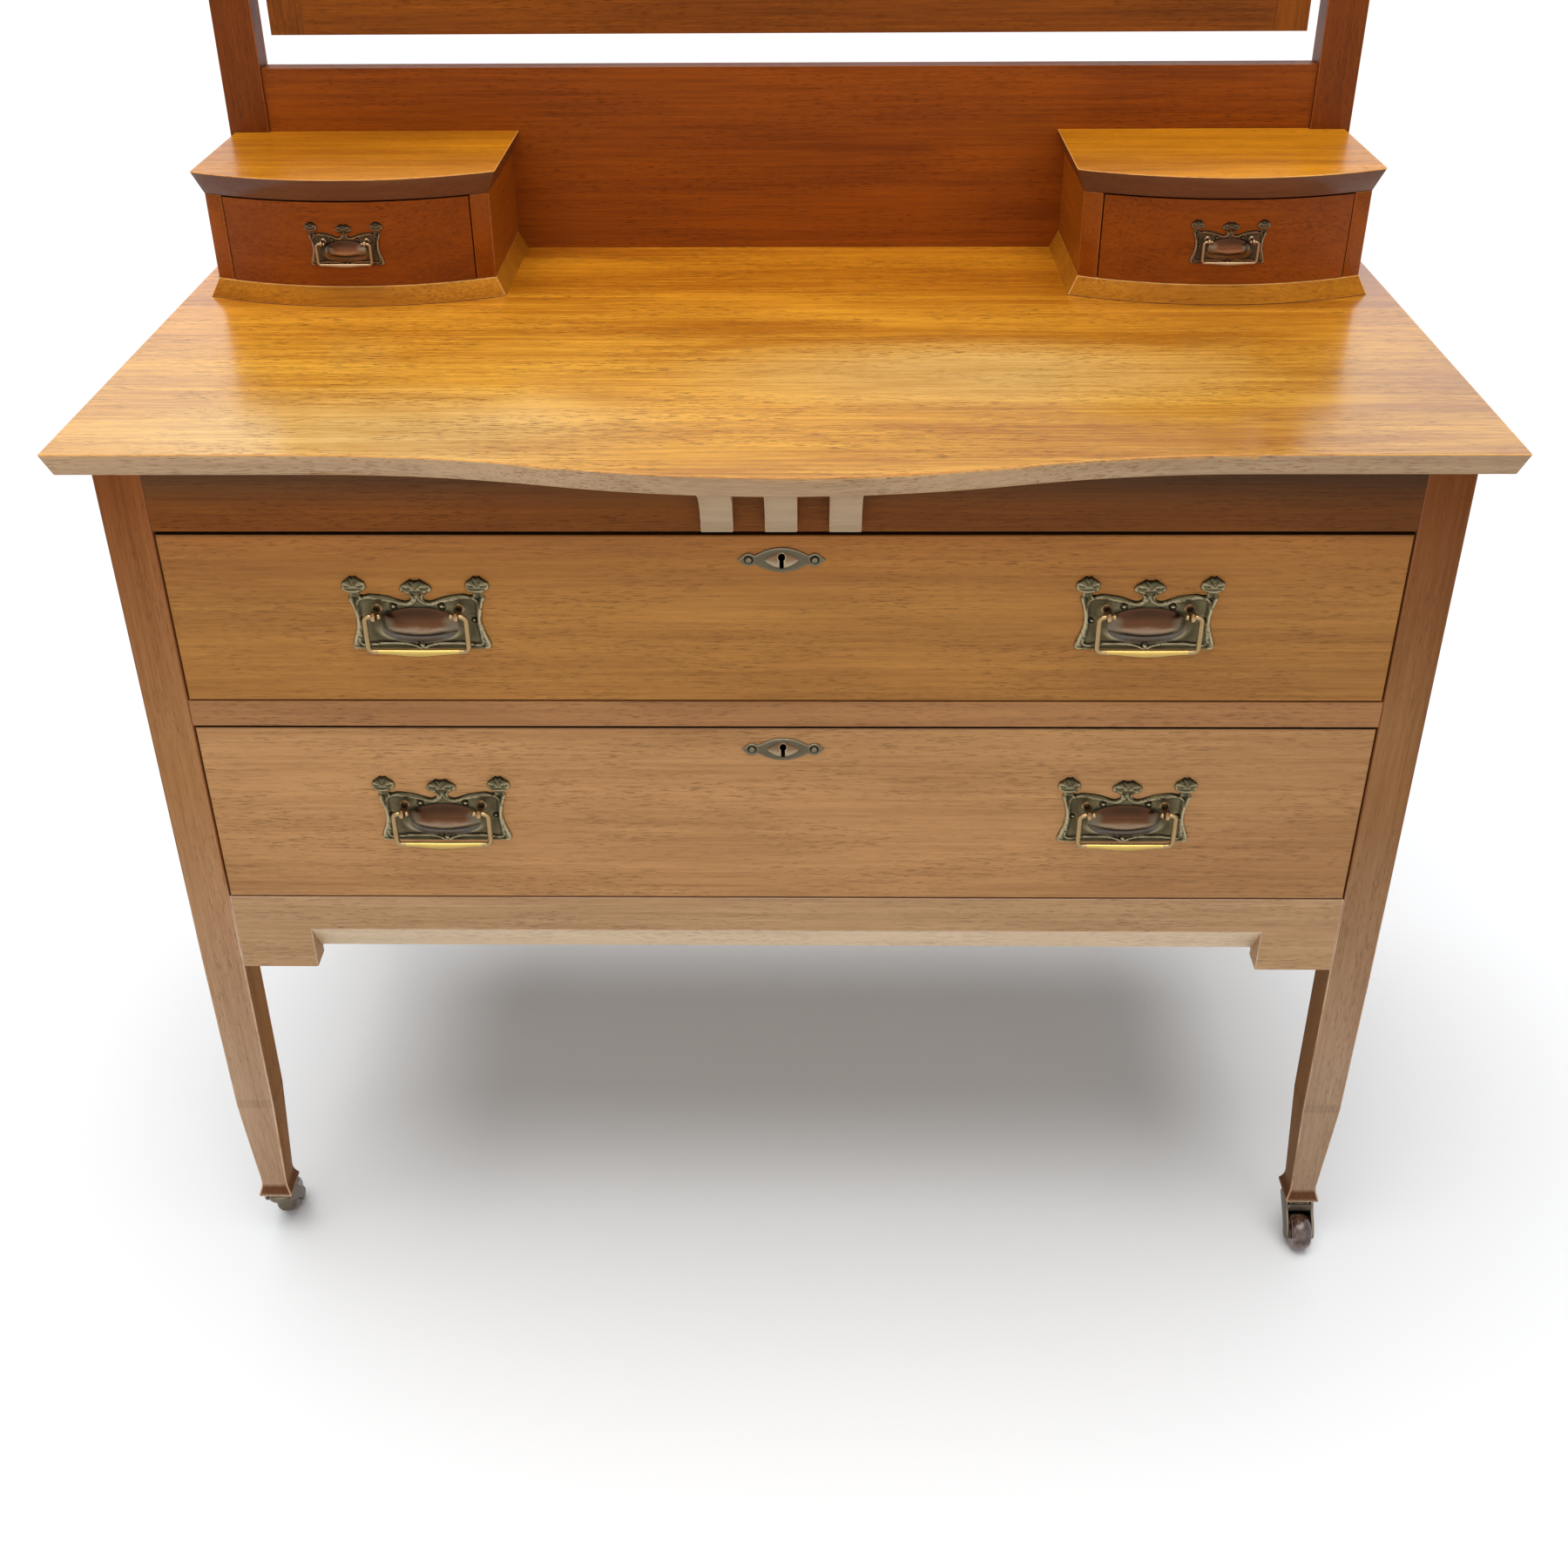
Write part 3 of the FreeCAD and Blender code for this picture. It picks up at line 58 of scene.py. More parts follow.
class Finish:
    """A material's node tree, with short calls for the nodes that the finishes share."""

    def __init__(self, name):
        self.material = bpy.data.materials.new(name)
        self.material.use_nodes = True
        self.tree = self.material.node_tree
        self.shader = self.tree.nodes["Principled BSDF"]
        self.object_place = self.add("ShaderNodeTexCoord").outputs["Object"]

    def add(self, kind, **settings):
        item = self.tree.nodes.new(kind)
        for key, setting in settings.items():
            setattr(item, key, setting)
        return item

    def feed(self, socket, source):
        """Join a node's output to a socket, or set the socket to a plain value."""
        if isinstance(source, bpy.types.NodeSocket):
            self.tree.links.new(source, socket)
        else:
            socket.default_value = source

    def fill(self, item, **sources):
        """Feed a node's sockets by name, with _ for a space."""
        for name, source in sources.items():
            self.feed(item.inputs[name.replace("_", " ")], source)
        return item.outputs

    def set(self, **values):
        self.fill(self.shader, **values)

    def mapped(self, vector, scale=(1, 1, 1), turn=(0, 0, 0), shift=(0, 0, 0)):
        turn = [math.radians(angle) for angle in turn]
        return self.fill(self.add("ShaderNodeMapping"), Vector=vector, Location=shift, Rotation=turn,
                         Scale=scale)["Vector"]

    def noise(self, vector, scale=1.0, detail=2.0, roughness=0.5, distortion=0.0):
        return self.fill(self.add("ShaderNodeTexNoise"), Vector=vector, Scale=scale, Detail=detail,
                         Roughness=roughness, Distortion=distortion)["Fac"]

    def ramp(self, value, *stops):
        """Map a value through (position, grey or colour) stops."""
        item = self.add("ShaderNodeValToRGB")
        self.fill(item, Fac=value)
        elements = item.color_ramp.elements
        while len(elements) < len(stops):
            elements.new(0.5)
        for element, (position, colour) in zip(elements, stops):
            element.position = position
            element.color = (*(colour if isinstance(colour, tuple) else (colour,) * 3), 1)
        return item.outputs["Color"]

    def mix(self, factor, first, second):
        item = self.add("ShaderNodeMix", data_type="RGBA")
        for index, source in ((0, factor), (6, first), (7, second)):
            if isinstance(source, tuple):
                source = (*source, 1)
            self.feed(item.inputs[index], source)
        return item.outputs[2]

    def math(self, operation, *sources):
        item = self.add("ShaderNodeMath", operation=operation)
        for socket, source in zip(item.inputs, sources):
            self.feed(socket, source)
        return item.outputs[0]

    def span(self, value, low, high):
        """Fade from 0 at low to 1 at high."""
        item = self.add("ShaderNodeMapRange", clamp=True)
        return self.fill(item, Value=value, From_Min=low, From_Max=high)["Result"]

    def total(self, *terms):
        """Add (weight, value) terms up."""
        result = 0.0
        for weight, value in terms:
            result = self.math("MULTIPLY_ADD", value, weight, result)
        return result

    def figure(self, tone, reach, light, dark):
        """Colours of a wood's grain, from dark to light."""
        middle = tuple((a + b) / 2 for a, b in zip(light, dark))
        return self.ramp(tone, (0.5 - reach, dark), (0.5, middle), (0.5 + reach, light))

    def facing(self, axis):
        """How far a face is turned along an axis, from -1 to 1."""
        return self.parts(self.add("ShaderNodeNewGeometry").outputs["Normal"])[axis]

    def choose(self, mask, first, second):
        """One vector where the mask is 0, and another where it is 1."""
        item = self.add("ShaderNodeMix", data_type="VECTOR")
        for index, source in ((0, mask), (4, first), (5, second)):
            self.feed(item.inputs[index], source)
        return item.outputs[1]

    def parts(self, vector):
        return self.fill(self.add("ShaderNodeSeparateXYZ"), Vector=vector)

    def place(self, axis):
        """Where a point lies along an axis of the frame, in metres."""
        return self.parts(self.object_place)[axis]

    def bump(self, height, distance, strength):
        item = self.add("ShaderNodeBump")
        self.set(Normal=self.fill(item, Strength=strength, Distance=distance, Height=height)["Normal"])


# How the grain's direction is turned on to the X axis.
GRAIN_TURN = {"x": (0, 0, 0), "y": (0, 0, -90), "z": (0, 90, 0)}
# Clouds, streaks, lines, fibres, pores and patches of pores, as (scale along and across the grain, detail,
# roughness, distortion). A larger scale is finer.
GRAIN_PATTERNS = (((2.2, 9, 9), 3.0, 0.55, 0.8), ((1.4, 40, 40), 3.0, 0.6, 0.6),
                  ((7, 380, 380), 3.0, 0.62, 0.3), ((30, 1300, 1300), 2.0, 0.6, 0.0),
                  ((90, 980, 980), 2.0, 0.55, 0.3), ((9, 30, 30), 2.0, 0.5, 0.0))
TONE_REACH = 0.125
PORE_SHADE = 0.42
PORE_DEPTH = 0.00012
VARNISH_ROUGHNESS = 0.19
# Dark for scribed lines, and for painted shade towards the right, in keyholes and on locks behind them.
LINE_AND_SHADE_DARK = (0.012, 0.007, 0.004)
# Painted shadow on a drawer front's top edge, in its gap under the rail.
GAP_SHADOW_PAINT = (0.028, 0.013, 0.006)
# Soft edges of bands and scribed lines, and half the width and height of the painted shade in a keyhole, in
# metres.
BAND_RISE, BAND_FALL = 0.0005, 0.004
SCRIBE_HALF, SCRIBE_FADE, SCRIBE_SHARE = 0.0003, 0.0008, 0.16
KEY_HALF = (0.0045, 0.0085)


def wood(name, *details, light, dark, grain="x", seed=0.0, rough=0.4, coat=0.0, shine=0.2, flecks=0.5,
         contrast=1.0, stiles=None):
    """Polished hardwood: soft streaks, clouds, fine fibres and short dark pores under a thin varnish.

    Each detail is a function that changes the colour in some place.
    """
    finish = Finish(name)
    shift = (seed, seed * 0.37, seed * 0.71)
    board = finish.mapped(finish.object_place, turn=GRAIN_TURN[grain], shift=shift)
    if stiles:
        upright = finish.mapped(finish.object_place, turn=GRAIN_TURN["z"], shift=shift)
        across = finish.math("ABSOLUTE", finish.place("X"))
        board = finish.choose(finish.math("GREATER_THAN", across, stiles), board, upright)
    clouds, streaks, lines, fibres, pores, patches = (
        finish.noise(finish.mapped(board, scale), 1.0, *settings) for scale, *settings in GRAIN_PATTERNS)
    pore_mask = finish.math("MULTIPLY", finish.ramp(pores, (0.55, 0.0), (0.64, 1.0)),
                            finish.ramp(patches, (0.36, 0.25), (0.56, 1.0)))
    tone = finish.total((0.30, clouds), (0.24, streaks), (0.28, lines), (0.18, fibres))
    reach = TONE_REACH / contrast
    colour = finish.figure(tone, reach, light, dark)
    for detail in details:
        colour = detail(finish, colour, lambda palette: finish.figure(tone, reach, **palette))
    pore_colour = tuple(PORE_SHADE * part for part in dark)
    colour = finish.mix(finish.math("MULTIPLY", pore_mask, flecks), colour, pore_colour)
    roughness = finish.total((0.22, clouds), (0.14, pore_mask), (0.10, fibres), (1.0, rough - 0.16))
    finish.set(Base_Color=colour, Roughness=roughness, Coat_Weight=coat, Coat_Roughness=VARNISH_ROUGHNESS,
               Specular_IOR_Level=shine)
    finish.bump(finish.total((0.3, fibres), (-1.0, pore_mask)), PORE_DEPTH, 0.5)
    return finish.material


def masked(palette, mask):
    """Other colours where a mask, which is a function of the finish, is 1."""
    return lambda finish, colour, figure: finish.mix(mask(finish), colour, figure(palette))


def turned_down_light(palette):
    """Other colours on faces that are turned down, as painted shade and painted reflection of the floor."""
    return masked(palette, lambda finish: finish.span(finish.facing("Z"), -0.04, -0.14))


def turned_out(palette):
    """Other colours on faces that are turned to the front."""
    return masked(palette, lambda finish: finish.span(finish.facing("Y"), -0.6, -0.8))


def faded(palette, axis, start, end):
    """A slow change to other colours along one axis, in metres."""
    return masked(palette, lambda finish: finish.span(finish.place(axis), start, end))


def rubbed_arris(palette, level, width):
    """Other colours just below a top edge, in metres."""
    def mask(finish):
        height = finish.span(finish.place("Z"), level - width, level - 0.4 * width)
        return finish.math("MULTIPLY", height, finish.span(finish.facing("Z"), 0.5, 0.3))
    return masked(palette, mask)


def shaded_rightward(start, end, share):
    """Painted shade: wood that grows darker from left to right, as if lit from the left, in metres."""
    def change(finish, colour, figure):
        across = finish.span(finish.place("X"), start, end)
        return finish.mix(finish.math("MULTIPLY", across, share), colour, LINE_AND_SHADE_DARK)
    return change


def turned_in(palette):
    """Other colours on faces that are turned towards the middle of the chest."""
    def mask(finish):
        return finish.span(finish.math("MULTIPLY", finish.facing("X"), finish.place("X")), -0.2, -0.35)
    return masked(palette, mask)


def spot(palette, place, half):
    """Other colours in a soft oval, seen from above, in metres."""
    def mask(finish):
        shift = (-place[0] / half[0], -place[1] / half[1], 0)
        reach = finish.add("ShaderNodeVectorMath", operation="LENGTH")
        oval = finish.mapped(finish.object_place, (1 / half[0], 1 / half[1], 0), shift=shift)
        finish.feed(reach.inputs[0], oval)
        return finish.span(reach.outputs["Value"], 1.0, 0.2)
    return masked(palette, mask)


def banded(palette, low, high):
    """Other colours between two heights, in metres."""
    def mask(finish):
        height = finish.place("Z")
        return finish.math("MULTIPLY", finish.span(height, low - BAND_RISE, low),
                           finish.span(height, high + BAND_FALL, high))
    return masked(palette, mask)


def scribed(*levels):
    """Faint lines scribed round a piece at the given heights, in metres."""
    def change(finish, colour, figure):
        for level in levels:
            offset = finish.math("SUBTRACT", finish.place("Z"), level)
            line = finish.ramp(finish.math("ABSOLUTE", offset), (SCRIBE_HALF, SCRIBE_SHARE),
                               (SCRIBE_FADE, 0.0))
            colour = finish.mix(line, colour, LINE_AND_SHADE_DARK)
        return colour
    return change


def shade_gap_and_keyhole(key_height=0.0):
    """Painted shadow on the top edge of a drawer front, in its gap under the rail, and painted shade inside
    its keyhole.
    """
    def change(finish, colour, figure):
        across = finish.math("LESS_THAN", finish.math("ABSOLUTE", finish.place("X")), KEY_HALF[0])
        above = finish.math("ABSOLUTE", finish.math("SUBTRACT", finish.place("Z"), key_height))
        hole = finish.math("MULTIPLY", across, finish.math("LESS_THAN", above, KEY_HALF[1]))
        colour = finish.mix(finish.span(finish.facing("Z"), 0.6, 0.9), colour, GAP_SHADOW_PAINT)
        return finish.mix(hole, colour, LINE_AND_SHADE_DARK)
    return change


def patina(name, raised, flat, hollow, rough=0.3, spread=0.05, shade=0.0, shaded_front=False):
    """Aged bronze or brass: rubbed bright on raised edges and dark in hollows; shade adds painted
    reflection, darker where it is turned up and paler where it is turned down.
    """
    finish = Finish(name)
    relief = finish.add("ShaderNodeNewGeometry").outputs["Pointiness"]
    blotches = finish.noise(finish.object_place, 130, 4.0, 0.6, 0.4)
    fine = finish.noise(finish.object_place, 1400, 2.0, 0.6)
    tone = finish.total((1.0, relief), (0.5 * spread, blotches), (0.3 * spread, fine),
                        (1.0, -0.4 * spread), (-shade, finish.facing("Z")))
    colour = finish.ramp(tone, (0.5 - spread, hollow), (0.5, flat), (0.5 + spread, raised))
    # Painted shade on faces turned to the front, as on a lock seen through its keyhole.
    if shaded_front:
        colour = finish.mix(finish.span(finish.facing("Y"), -0.5, -0.8), colour, LINE_AND_SHADE_DARK)
    finish.set(Base_Color=colour, Metallic=1.0,
               Roughness=finish.ramp(tone, (0.5 - spread, rough + 0.2), (0.5 + spread, rough)))
    finish.bump(fine, 0.00005, 0.4)
    return finish.material


# Colours of a swell, as painted reflection, from where it is turned down to where it is turned up: pale
# grey, dark, a painted highlight band, copper and dark.
SWELL_REFLECTION_STOPS = ((0.19, (0.30, 0.30, 0.31)), (0.30, (0.17, 0.17, 0.18)), (0.39, (0.045, 0.04, 0.044)),
               (0.475, (0.40, 0.31, 0.25)), (0.53, (0.19, 0.095, 0.055)), (0.61, (0.13, 0.062, 0.037)),
               (0.80, (0.05, 0.028, 0.02)))
SWELL_END_SHEEN = (0.21, 0.195, 0.165)


def tinted(tint, colour):
    return tuple(a * b for a, b in zip(tint, colour))


def swelled_copper(name, tint):
    """The swell of a backplate, with painted reflection: dark copper above, a painted highlight band, dark
    below, pale grey where turned down and grey at its ends.
    """
    finish = Finish(name)
    blotches = finish.noise(finish.object_place, 110, 3.0, 0.6, 0.5)
    tone = finish.total((0.5, finish.facing("Z")), (0.05, blotches), (1.0, 0.475))
    colour = finish.ramp(tone, *[(place, tinted(tint, copper)) for place, copper in SWELL_REFLECTION_STOPS])
    ends = finish.span(finish.math("ABSOLUTE", finish.facing("X")), 0.20, 0.33)
    colour = finish.mix(ends, colour, tinted(tint, SWELL_END_SHEEN))
    finish.set(Base_Color=colour, Metallic=1.0, Roughness=finish.ramp(blotches, (0.3, 0.2), (0.7, 0.3)))
    return finish.material


def glazed_wheel(name):
    """A castor wheel of mottled brown composition with pale flecks, glossy under a coat."""
    finish = Finish(name)
    mottle = finish.noise(finish.object_place, 120, 4.0, 0.6, 0.8)
    fine = finish.noise(finish.object_place, 1500, 2.0, 0.6)
    tone = finish.total((0.8, mottle), (0.2, fine))
    colour = finish.ramp(tone, (0.40, (0.03, 0.011, 0.007)), (0.54, (0.10, 0.042, 0.024)),
                         (0.72, (0.34, 0.29, 0.23)))
    finish.set(Base_Color=colour, Roughness=finish.ramp(tone, (0.4, 0.22), (0.65, 0.4)), Coat_Weight=0.6,
               Coat_Roughness=0.12)
    finish.bump(mottle, 0.0002, 0.5)
    return finish.material


def silvered_glass(name):
    """Old looking glass: silver with a faint bloom."""
    finish = Finish(name)
    bloom = finish.noise(finish.object_place, 9.0, 5.0, 0.6, 0.5)
    colour = finish.ramp(bloom, (0.3, (0.56, 0.59, 0.59)), (0.7, (0.60, 0.63, 0.63)))
    finish.set(Base_Color=colour, Metallic=1.0, Roughness=finish.ramp(bloom, (0.35, 0.015), (0.75, 0.05)))
    return finish.material


def placed(name, data):
    """A new object in the scene."""
    made = bpy.data.objects.new(name, data)
    bpy.context.scene.collection.objects.link(made)
    return made


def paint(material, *names):
    """Give CAD nodes one material."""
    for name in names:
        slots = nodes[name].data.materials
        slots.clear()
        slots.append(material)


WELD_REACH = 0.00001
ARRIS_ANGLE = math.radians(28)


def soften(worn, width, *names):
    """Round the arrises of CAD nodes, and give them the worn wood's paler colour, if there is one."""
    for name in names:
        if worn:
            nodes[name].data.materials.append(worn)
        weld = nodes[name].modifiers.new("weld", "WELD")
        weld.merge_threshold = WELD_REACH
        bevel = nodes[name].modifiers.new("arris", "BEVEL")
        bevel.width = width
        bevel.segments = 2
        bevel.limit_method = "ANGLE"
        bevel.angle_limit = ARRIS_ANGLE
        bevel.harden_normals = True
        bevel.material = 1 if worn else -1


def shades(light, dark):
    """The palest and the darkest colour of a wood's grain."""
    return {"light": light, "dark": dark}


DRAWER = shades((0.535, 0.237, 0.049), (0.29, 0.112, 0.019))
DRAWER_TOP = shades((0.42, 0.15, 0.025), (0.24, 0.075, 0.012))
# The lower drawer's wood, paler and greyer than the upper's, partly as painted reflection of the floor.
LOWER_DRAWER_WOOD_AND_SHEEN = shades((0.555, 0.285, 0.107), (0.33, 0.149, 0.048))
APRON = shades((0.555, 0.335, 0.167), (0.335, 0.178, 0.078))
# Painted reflection of the floor on the apron's turned-down bevel.
APRON_BEVEL_SHEEN = shades((0.73, 0.55, 0.37), (0.59, 0.43, 0.26))
TOP = shades((0.93, 0.465, 0.05), (0.505, 0.188, 0.012))
# Painted reflection of the dark splash board: deeper orange towards the top's back.
TOP_BACK_REFLECTION = shades((1.0, 0.395, 0.016), (0.53, 0.157, 0.005))
# Painted sheen: paler patches on the top.
TOP_SHEEN = shades((0.95, 0.6, 0.19), (0.66, 0.36, 0.075))
# Painted shade and painted reflection of the floor on the top's turned-down front edge.
TOP_EDGE_SHADE_SHEEN = shades((0.48, 0.29, 0.135), (0.355, 0.205, 0.085))
GALLERY = shades((0.385, 0.09, 0.003), (0.21, 0.045, 0.002))
JEWEL_FRONT = shades((0.335, 0.076, 0.003), (0.183, 0.038, 0.002))
JEWEL_SIDE = shades((0.46, 0.135, 0.008), (0.25, 0.07, 0.005))
UPRIGHT = shades((0.25, 0.057, 0.003), (0.14, 0.029, 0.002))
RAIL = shades((0.36, 0.098, 0.003), (0.15, 0.036, 0.001))
LID = shades((0.9, 0.35, 0.012), (0.45, 0.143, 0.005))
# Painted shade on the lids' turned-down edges.
LID_EDGE_SHADE = shades((0.165, 0.064, 0.031), (0.1, 0.036, 0.017))
PLINTH = shades((0.69, 0.275, 0.017), (0.355, 0.115, 0.006))
CASE = shades((0.31, 0.1, 0.028), (0.175, 0.05, 0.012))
# Painted floor sheen: paler, greyer colours lower down the legs.
LEG_MIDDLE_SHEEN = shades((0.47, 0.232, 0.095), (0.29, 0.127, 0.044))
LEG_FOOT_SHEEN = shades((0.555, 0.372, 0.24), (0.352, 0.208, 0.122))
LEG_SIDE = shades((0.36, 0.155, 0.045), (0.19, 0.075, 0.018))
FLARE = shades((0.20, 0.085, 0.04), (0.11, 0.042, 0.018))
SOLE = shades((0.62, 0.46, 0.31), (0.45, 0.30, 0.18))
MIDDLE = shades((0.44, 0.205, 0.071), (0.265, 0.11, 0.036))
FRIEZE = shades((0.285, 0.088, 0.011), (0.145, 0.036, 0.004))
# Painted shade under the top's overhang, darkest at the frieze's top.
FRIEZE_TOP_SHADE = shades((0.15, 0.063, 0.021), (0.079, 0.03, 0.008))
# Pale greyish tan, partly painted reflection of the floor on the corbels' sloped fronts.
CORBEL_WOOD_AND_SHEEN = shades((0.465, 0.335, 0.208), (0.352, 0.243, 0.145))
INNER = shades((0.42, 0.31, 0.19), (0.29, 0.20, 0.112))
BACK = shades((0.30, 0.16, 0.07), (0.20, 0.095, 0.04))
CASE_WORN = shades((0.72, 0.52, 0.36), (0.38, 0.2, 0.1))
TOP_WORN = shades((0.95, 0.55, 0.16), (0.70, 0.26, 0.05))
GALLERY_WORN = shades((0.46, 0.16, 0.035), (0.28, 0.07, 0.012))

LEGS = ("front_leg_left", "front_leg_right", "back_leg_left", "back_leg_right")
BOLTS = ("upper_drawer_lock_bolt", "lower_drawer_lock_bolt")
UPRIGHTS = ("upright_left", "upright_right")
# Places on the chest, in metres.
KNEE_LINES = (0.1695, 0.1745)
SOLE_BAND, FLARE_BAND = (0.0, 0.050), (0.0525, 0.060)
MIRROR_STILE = 0.435
TABLE_LEVEL, ARRIS_REACH = 0.825, 0.0016
UPPER_KEY, LOWER_KEY = 0.731, 0.562
# Ovals of painted sheen on the top, as (middle, half size).
TOP_SHEEN_SPOTS = (((-0.30, -0.20), (0.24, 0.10)), ((0.15, -0.08), (0.26, 0.09)))
# Where slow changes of colour start and end: painted floor sheen low on the legs, wear on the legs' arrises,
# painted shade at the frieze's top, a darker top on the upper drawer and painted reflection towards the
# top's back.
LEG_MIDDLE_SHEEN_FADE, LEG_FOOT_SHEEN_FADE, WORN_FADE = (0.78, 0.58), (0.52, 0.2), (0.36, 0.44)
FRIEZE_SHADE_FADE, DRAWER_FADE, TOP_REFLECTION_FADE = (0.772, 0.797), (0.69, 0.76), (-0.08, 0.16)
# Where the painted shade towards the right starts and ends on a piece, and by what share.
LEG_RIGHT_SHADE, FRIEZE_RIGHT_SHADE, TOP_RIGHT_SHADE = (-0.3, 0.3, 0.23), (-0.4, 0.4, 0.42), (0.0, 0.45, 0.14)
UPPER_RIGHT_SHADE, LOWER_RIGHT_SHADE = (0.1, 0.45, 0.15), (0.1, 0.45, 0.11)
# Widths of rounded arrises.
LEG_ARRIS, RAIL_ARRIS, INNER_ARRIS = 0.0011, 0.0007, 0.0006
TOP_ARRIS, GALLERY_ARRIS = 0.0009, 0.0008

paint(wood("leg_wood", faded(LEG_MIDDLE_SHEEN, "Z", *LEG_MIDDLE_SHEEN_FADE), faded(LEG_FOOT_SHEEN, "Z", *LEG_FOOT_SHEEN_FADE),
           turned_in(LEG_SIDE), banded(FLARE, *FLARE_BAND), banded(SOLE, *SOLE_BAND), scribed(*KNEE_LINES),
           shaded_rightward(*LEG_RIGHT_SHADE), **CASE, grain="z", seed=1.3, shine=0.03, flecks=0.3), *LEGS)
paint(wood("side_panel_wood", **CASE, grain="z", seed=2.9), "side_panels")
paint(wood("side_rail_wood", **CASE, grain="y", seed=3.7), "side_rails")
paint(wood("apron_wood", turned_down_light(APRON_BEVEL_SHEEN), **APRON, seed=4.1), "apron_rail")
paint(wood("middle_rail_wood", **MIDDLE, seed=5.3), "middle_rail")
paint(wood("frieze_wood", faded(FRIEZE_TOP_SHADE, "Z", *FRIEZE_SHADE_FADE), shaded_rightward(*FRIEZE_RIGHT_SHADE), **FRIEZE, seed=6.1,
           shine=0.1), "frieze_rail")
paint(wood("corbel_wood", **CORBEL_WOOD_AND_SHEEN, seed=7.7, flecks=0.1), "frieze_corbels")
paint(wood("top_wood", faded(TOP_BACK_REFLECTION, "Y", *TOP_REFLECTION_FADE), *[spot(TOP_SHEEN, *oval) for oval in TOP_SHEEN_SPOTS],
           turned_down_light(TOP_EDGE_SHADE_SHEEN), rubbed_arris(TOP_WORN, TABLE_LEVEL, ARRIS_REACH), shaded_rightward(*TOP_RIGHT_SHADE), **TOP,
           seed=8.3, rough=0.3, coat=0.9, flecks=0.85, contrast=1.8), "chest_top")
paint(wood("lid_wood", turned_down_light(LID_EDGE_SHADE), **LID, seed=9.1, rough=0.3, coat=0.2, contrast=1.3),
      "jewel_lids")
paint(wood("plinth_wood", **PLINTH, seed=9.7, shine=0.1), "jewel_bases")
paint(wood("jewel_side_wood", turned_out(GALLERY), **JEWEL_SIDE, grain="y", seed=10.7, shine=0.12),
      "jewel_sides")
paint(wood("jewel_front_wood", shade_gap_and_keyhole(), **JEWEL_FRONT, seed=11.9, shine=0.12), "left_jewel_drawer_front",
      "right_jewel_drawer_front")
paint(wood("upright_wood", **UPRIGHT, grain="z", seed=12.1, shine=0.12), *UPRIGHTS)
paint(wood("splash_wood", **GALLERY, seed=13.7, shine=0.12, contrast=1.4), "splash_board")
paint(wood("mirror_frame_wood", **RAIL, seed=14.9, shine=0.12, contrast=1.3, stiles=MIRROR_STILE),
      "mirror_frame")
paint(wood("upper_drawer_wood", faded(DRAWER_TOP, "Z", *DRAWER_FADE), shaded_rightward(*UPPER_RIGHT_SHADE),
           shade_gap_and_keyhole(UPPER_KEY), **DRAWER, seed=15.3), "upper_drawer_front")
paint(wood("lower_drawer_wood", shaded_rightward(*LOWER_RIGHT_SHADE), shade_gap_and_keyhole(LOWER_KEY), **LOWER_DRAWER_WOOD_AND_SHEEN, seed=16.7),
      "lower_drawer_front")
paint(wood("inner_wood", **INNER, grain="y", seed=17.9, rough=0.6), "drawer_runners", "drawer_stops",
      "upper_drawer_box", "lower_drawer_box", "upper_drawer_bottom", "lower_drawer_bottom",
      "left_jewel_drawer_box", "right_jewel_drawer_box")
paint(wood("back_wood", **BACK, grain="z", seed=18.3, rough=0.6), "back_boards", "mirror_back_board")
paint(wood("back_rail_wood", **BACK, seed=19.3, rough=0.6), "back_rails")
paint(silvered_glass("looking_glass"), "mirror_glass")

soften(wood("case_worn_wood", faded(CASE, "Z", *WORN_FADE), **CASE_WORN, grain="z", seed=21.1,
            contrast=1.6), LEG_ARRIS, *LEGS)
soften(wood("rail_worn_wood", **CASE_WORN, seed=21.7), RAIL_ARRIS, "side_rails", "apron_rail",
       "frieze_corbels")
soften(None, INNER_ARRIS, "middle_rail", "frieze_rail")
soften(None, GALLERY_ARRIS, *BOLTS)
soften(wood("top_worn_wood", turned_down_light(TOP_EDGE_SHADE_SHEEN), **TOP_WORN, seed=22.3), TOP_ARRIS, "chest_top")
soften(wood("lid_worn_wood", turned_down_light(LID_EDGE_SHADE), **TOP_WORN, seed=22.9), TOP_ARRIS, "jewel_lids",
       "jewel_bases")
soften(wood("gallery_worn_wood", **GALLERY_WORN, seed=23.9, shine=0.12), GALLERY_ARRIS, "jewel_sides",
       *UPRIGHTS, "splash_board", "mirror_frame")

handle_bronze = patina("handle_bronze", (0.42, 0.35, 0.21), (0.115, 0.094, 0.048), (0.016, 0.013, 0.008),
                       shade=0.12)
handle_copper = swelled_copper("handle_copper", (0.74, 0.66, 0.53))
post_copper = patina("post_copper", (0.44, 0.28, 0.15), (0.17, 0.095, 0.042), (0.03, 0.019, 0.01), 0.24,
                     shade=0.08)
bail_brass = patina("bail_brass", (0.38, 0.26, 0.125), (0.215, 0.135, 0.053), (0.08, 0.045, 0.016), 0.24)
grip_brass = patina("grip_brass", (0.52, 0.36, 0.11), (0.38, 0.24, 0.055), (0.18, 0.11, 0.028), 0.22)
jewel_bronze = patina("jewel_bronze", (0.30, 0.22, 0.14), (0.07, 0.048, 0.028), (0.012, 0.009, 0.006),
                      shade=0.14)
jewel_copper = swelled_copper("jewel_copper", (0.85, 0.64, 0.48))
jewel_brass = patina("jewel_brass", (0.34, 0.225, 0.13), (0.17, 0.10, 0.053), (0.04, 0.024, 0.012), 0.24)
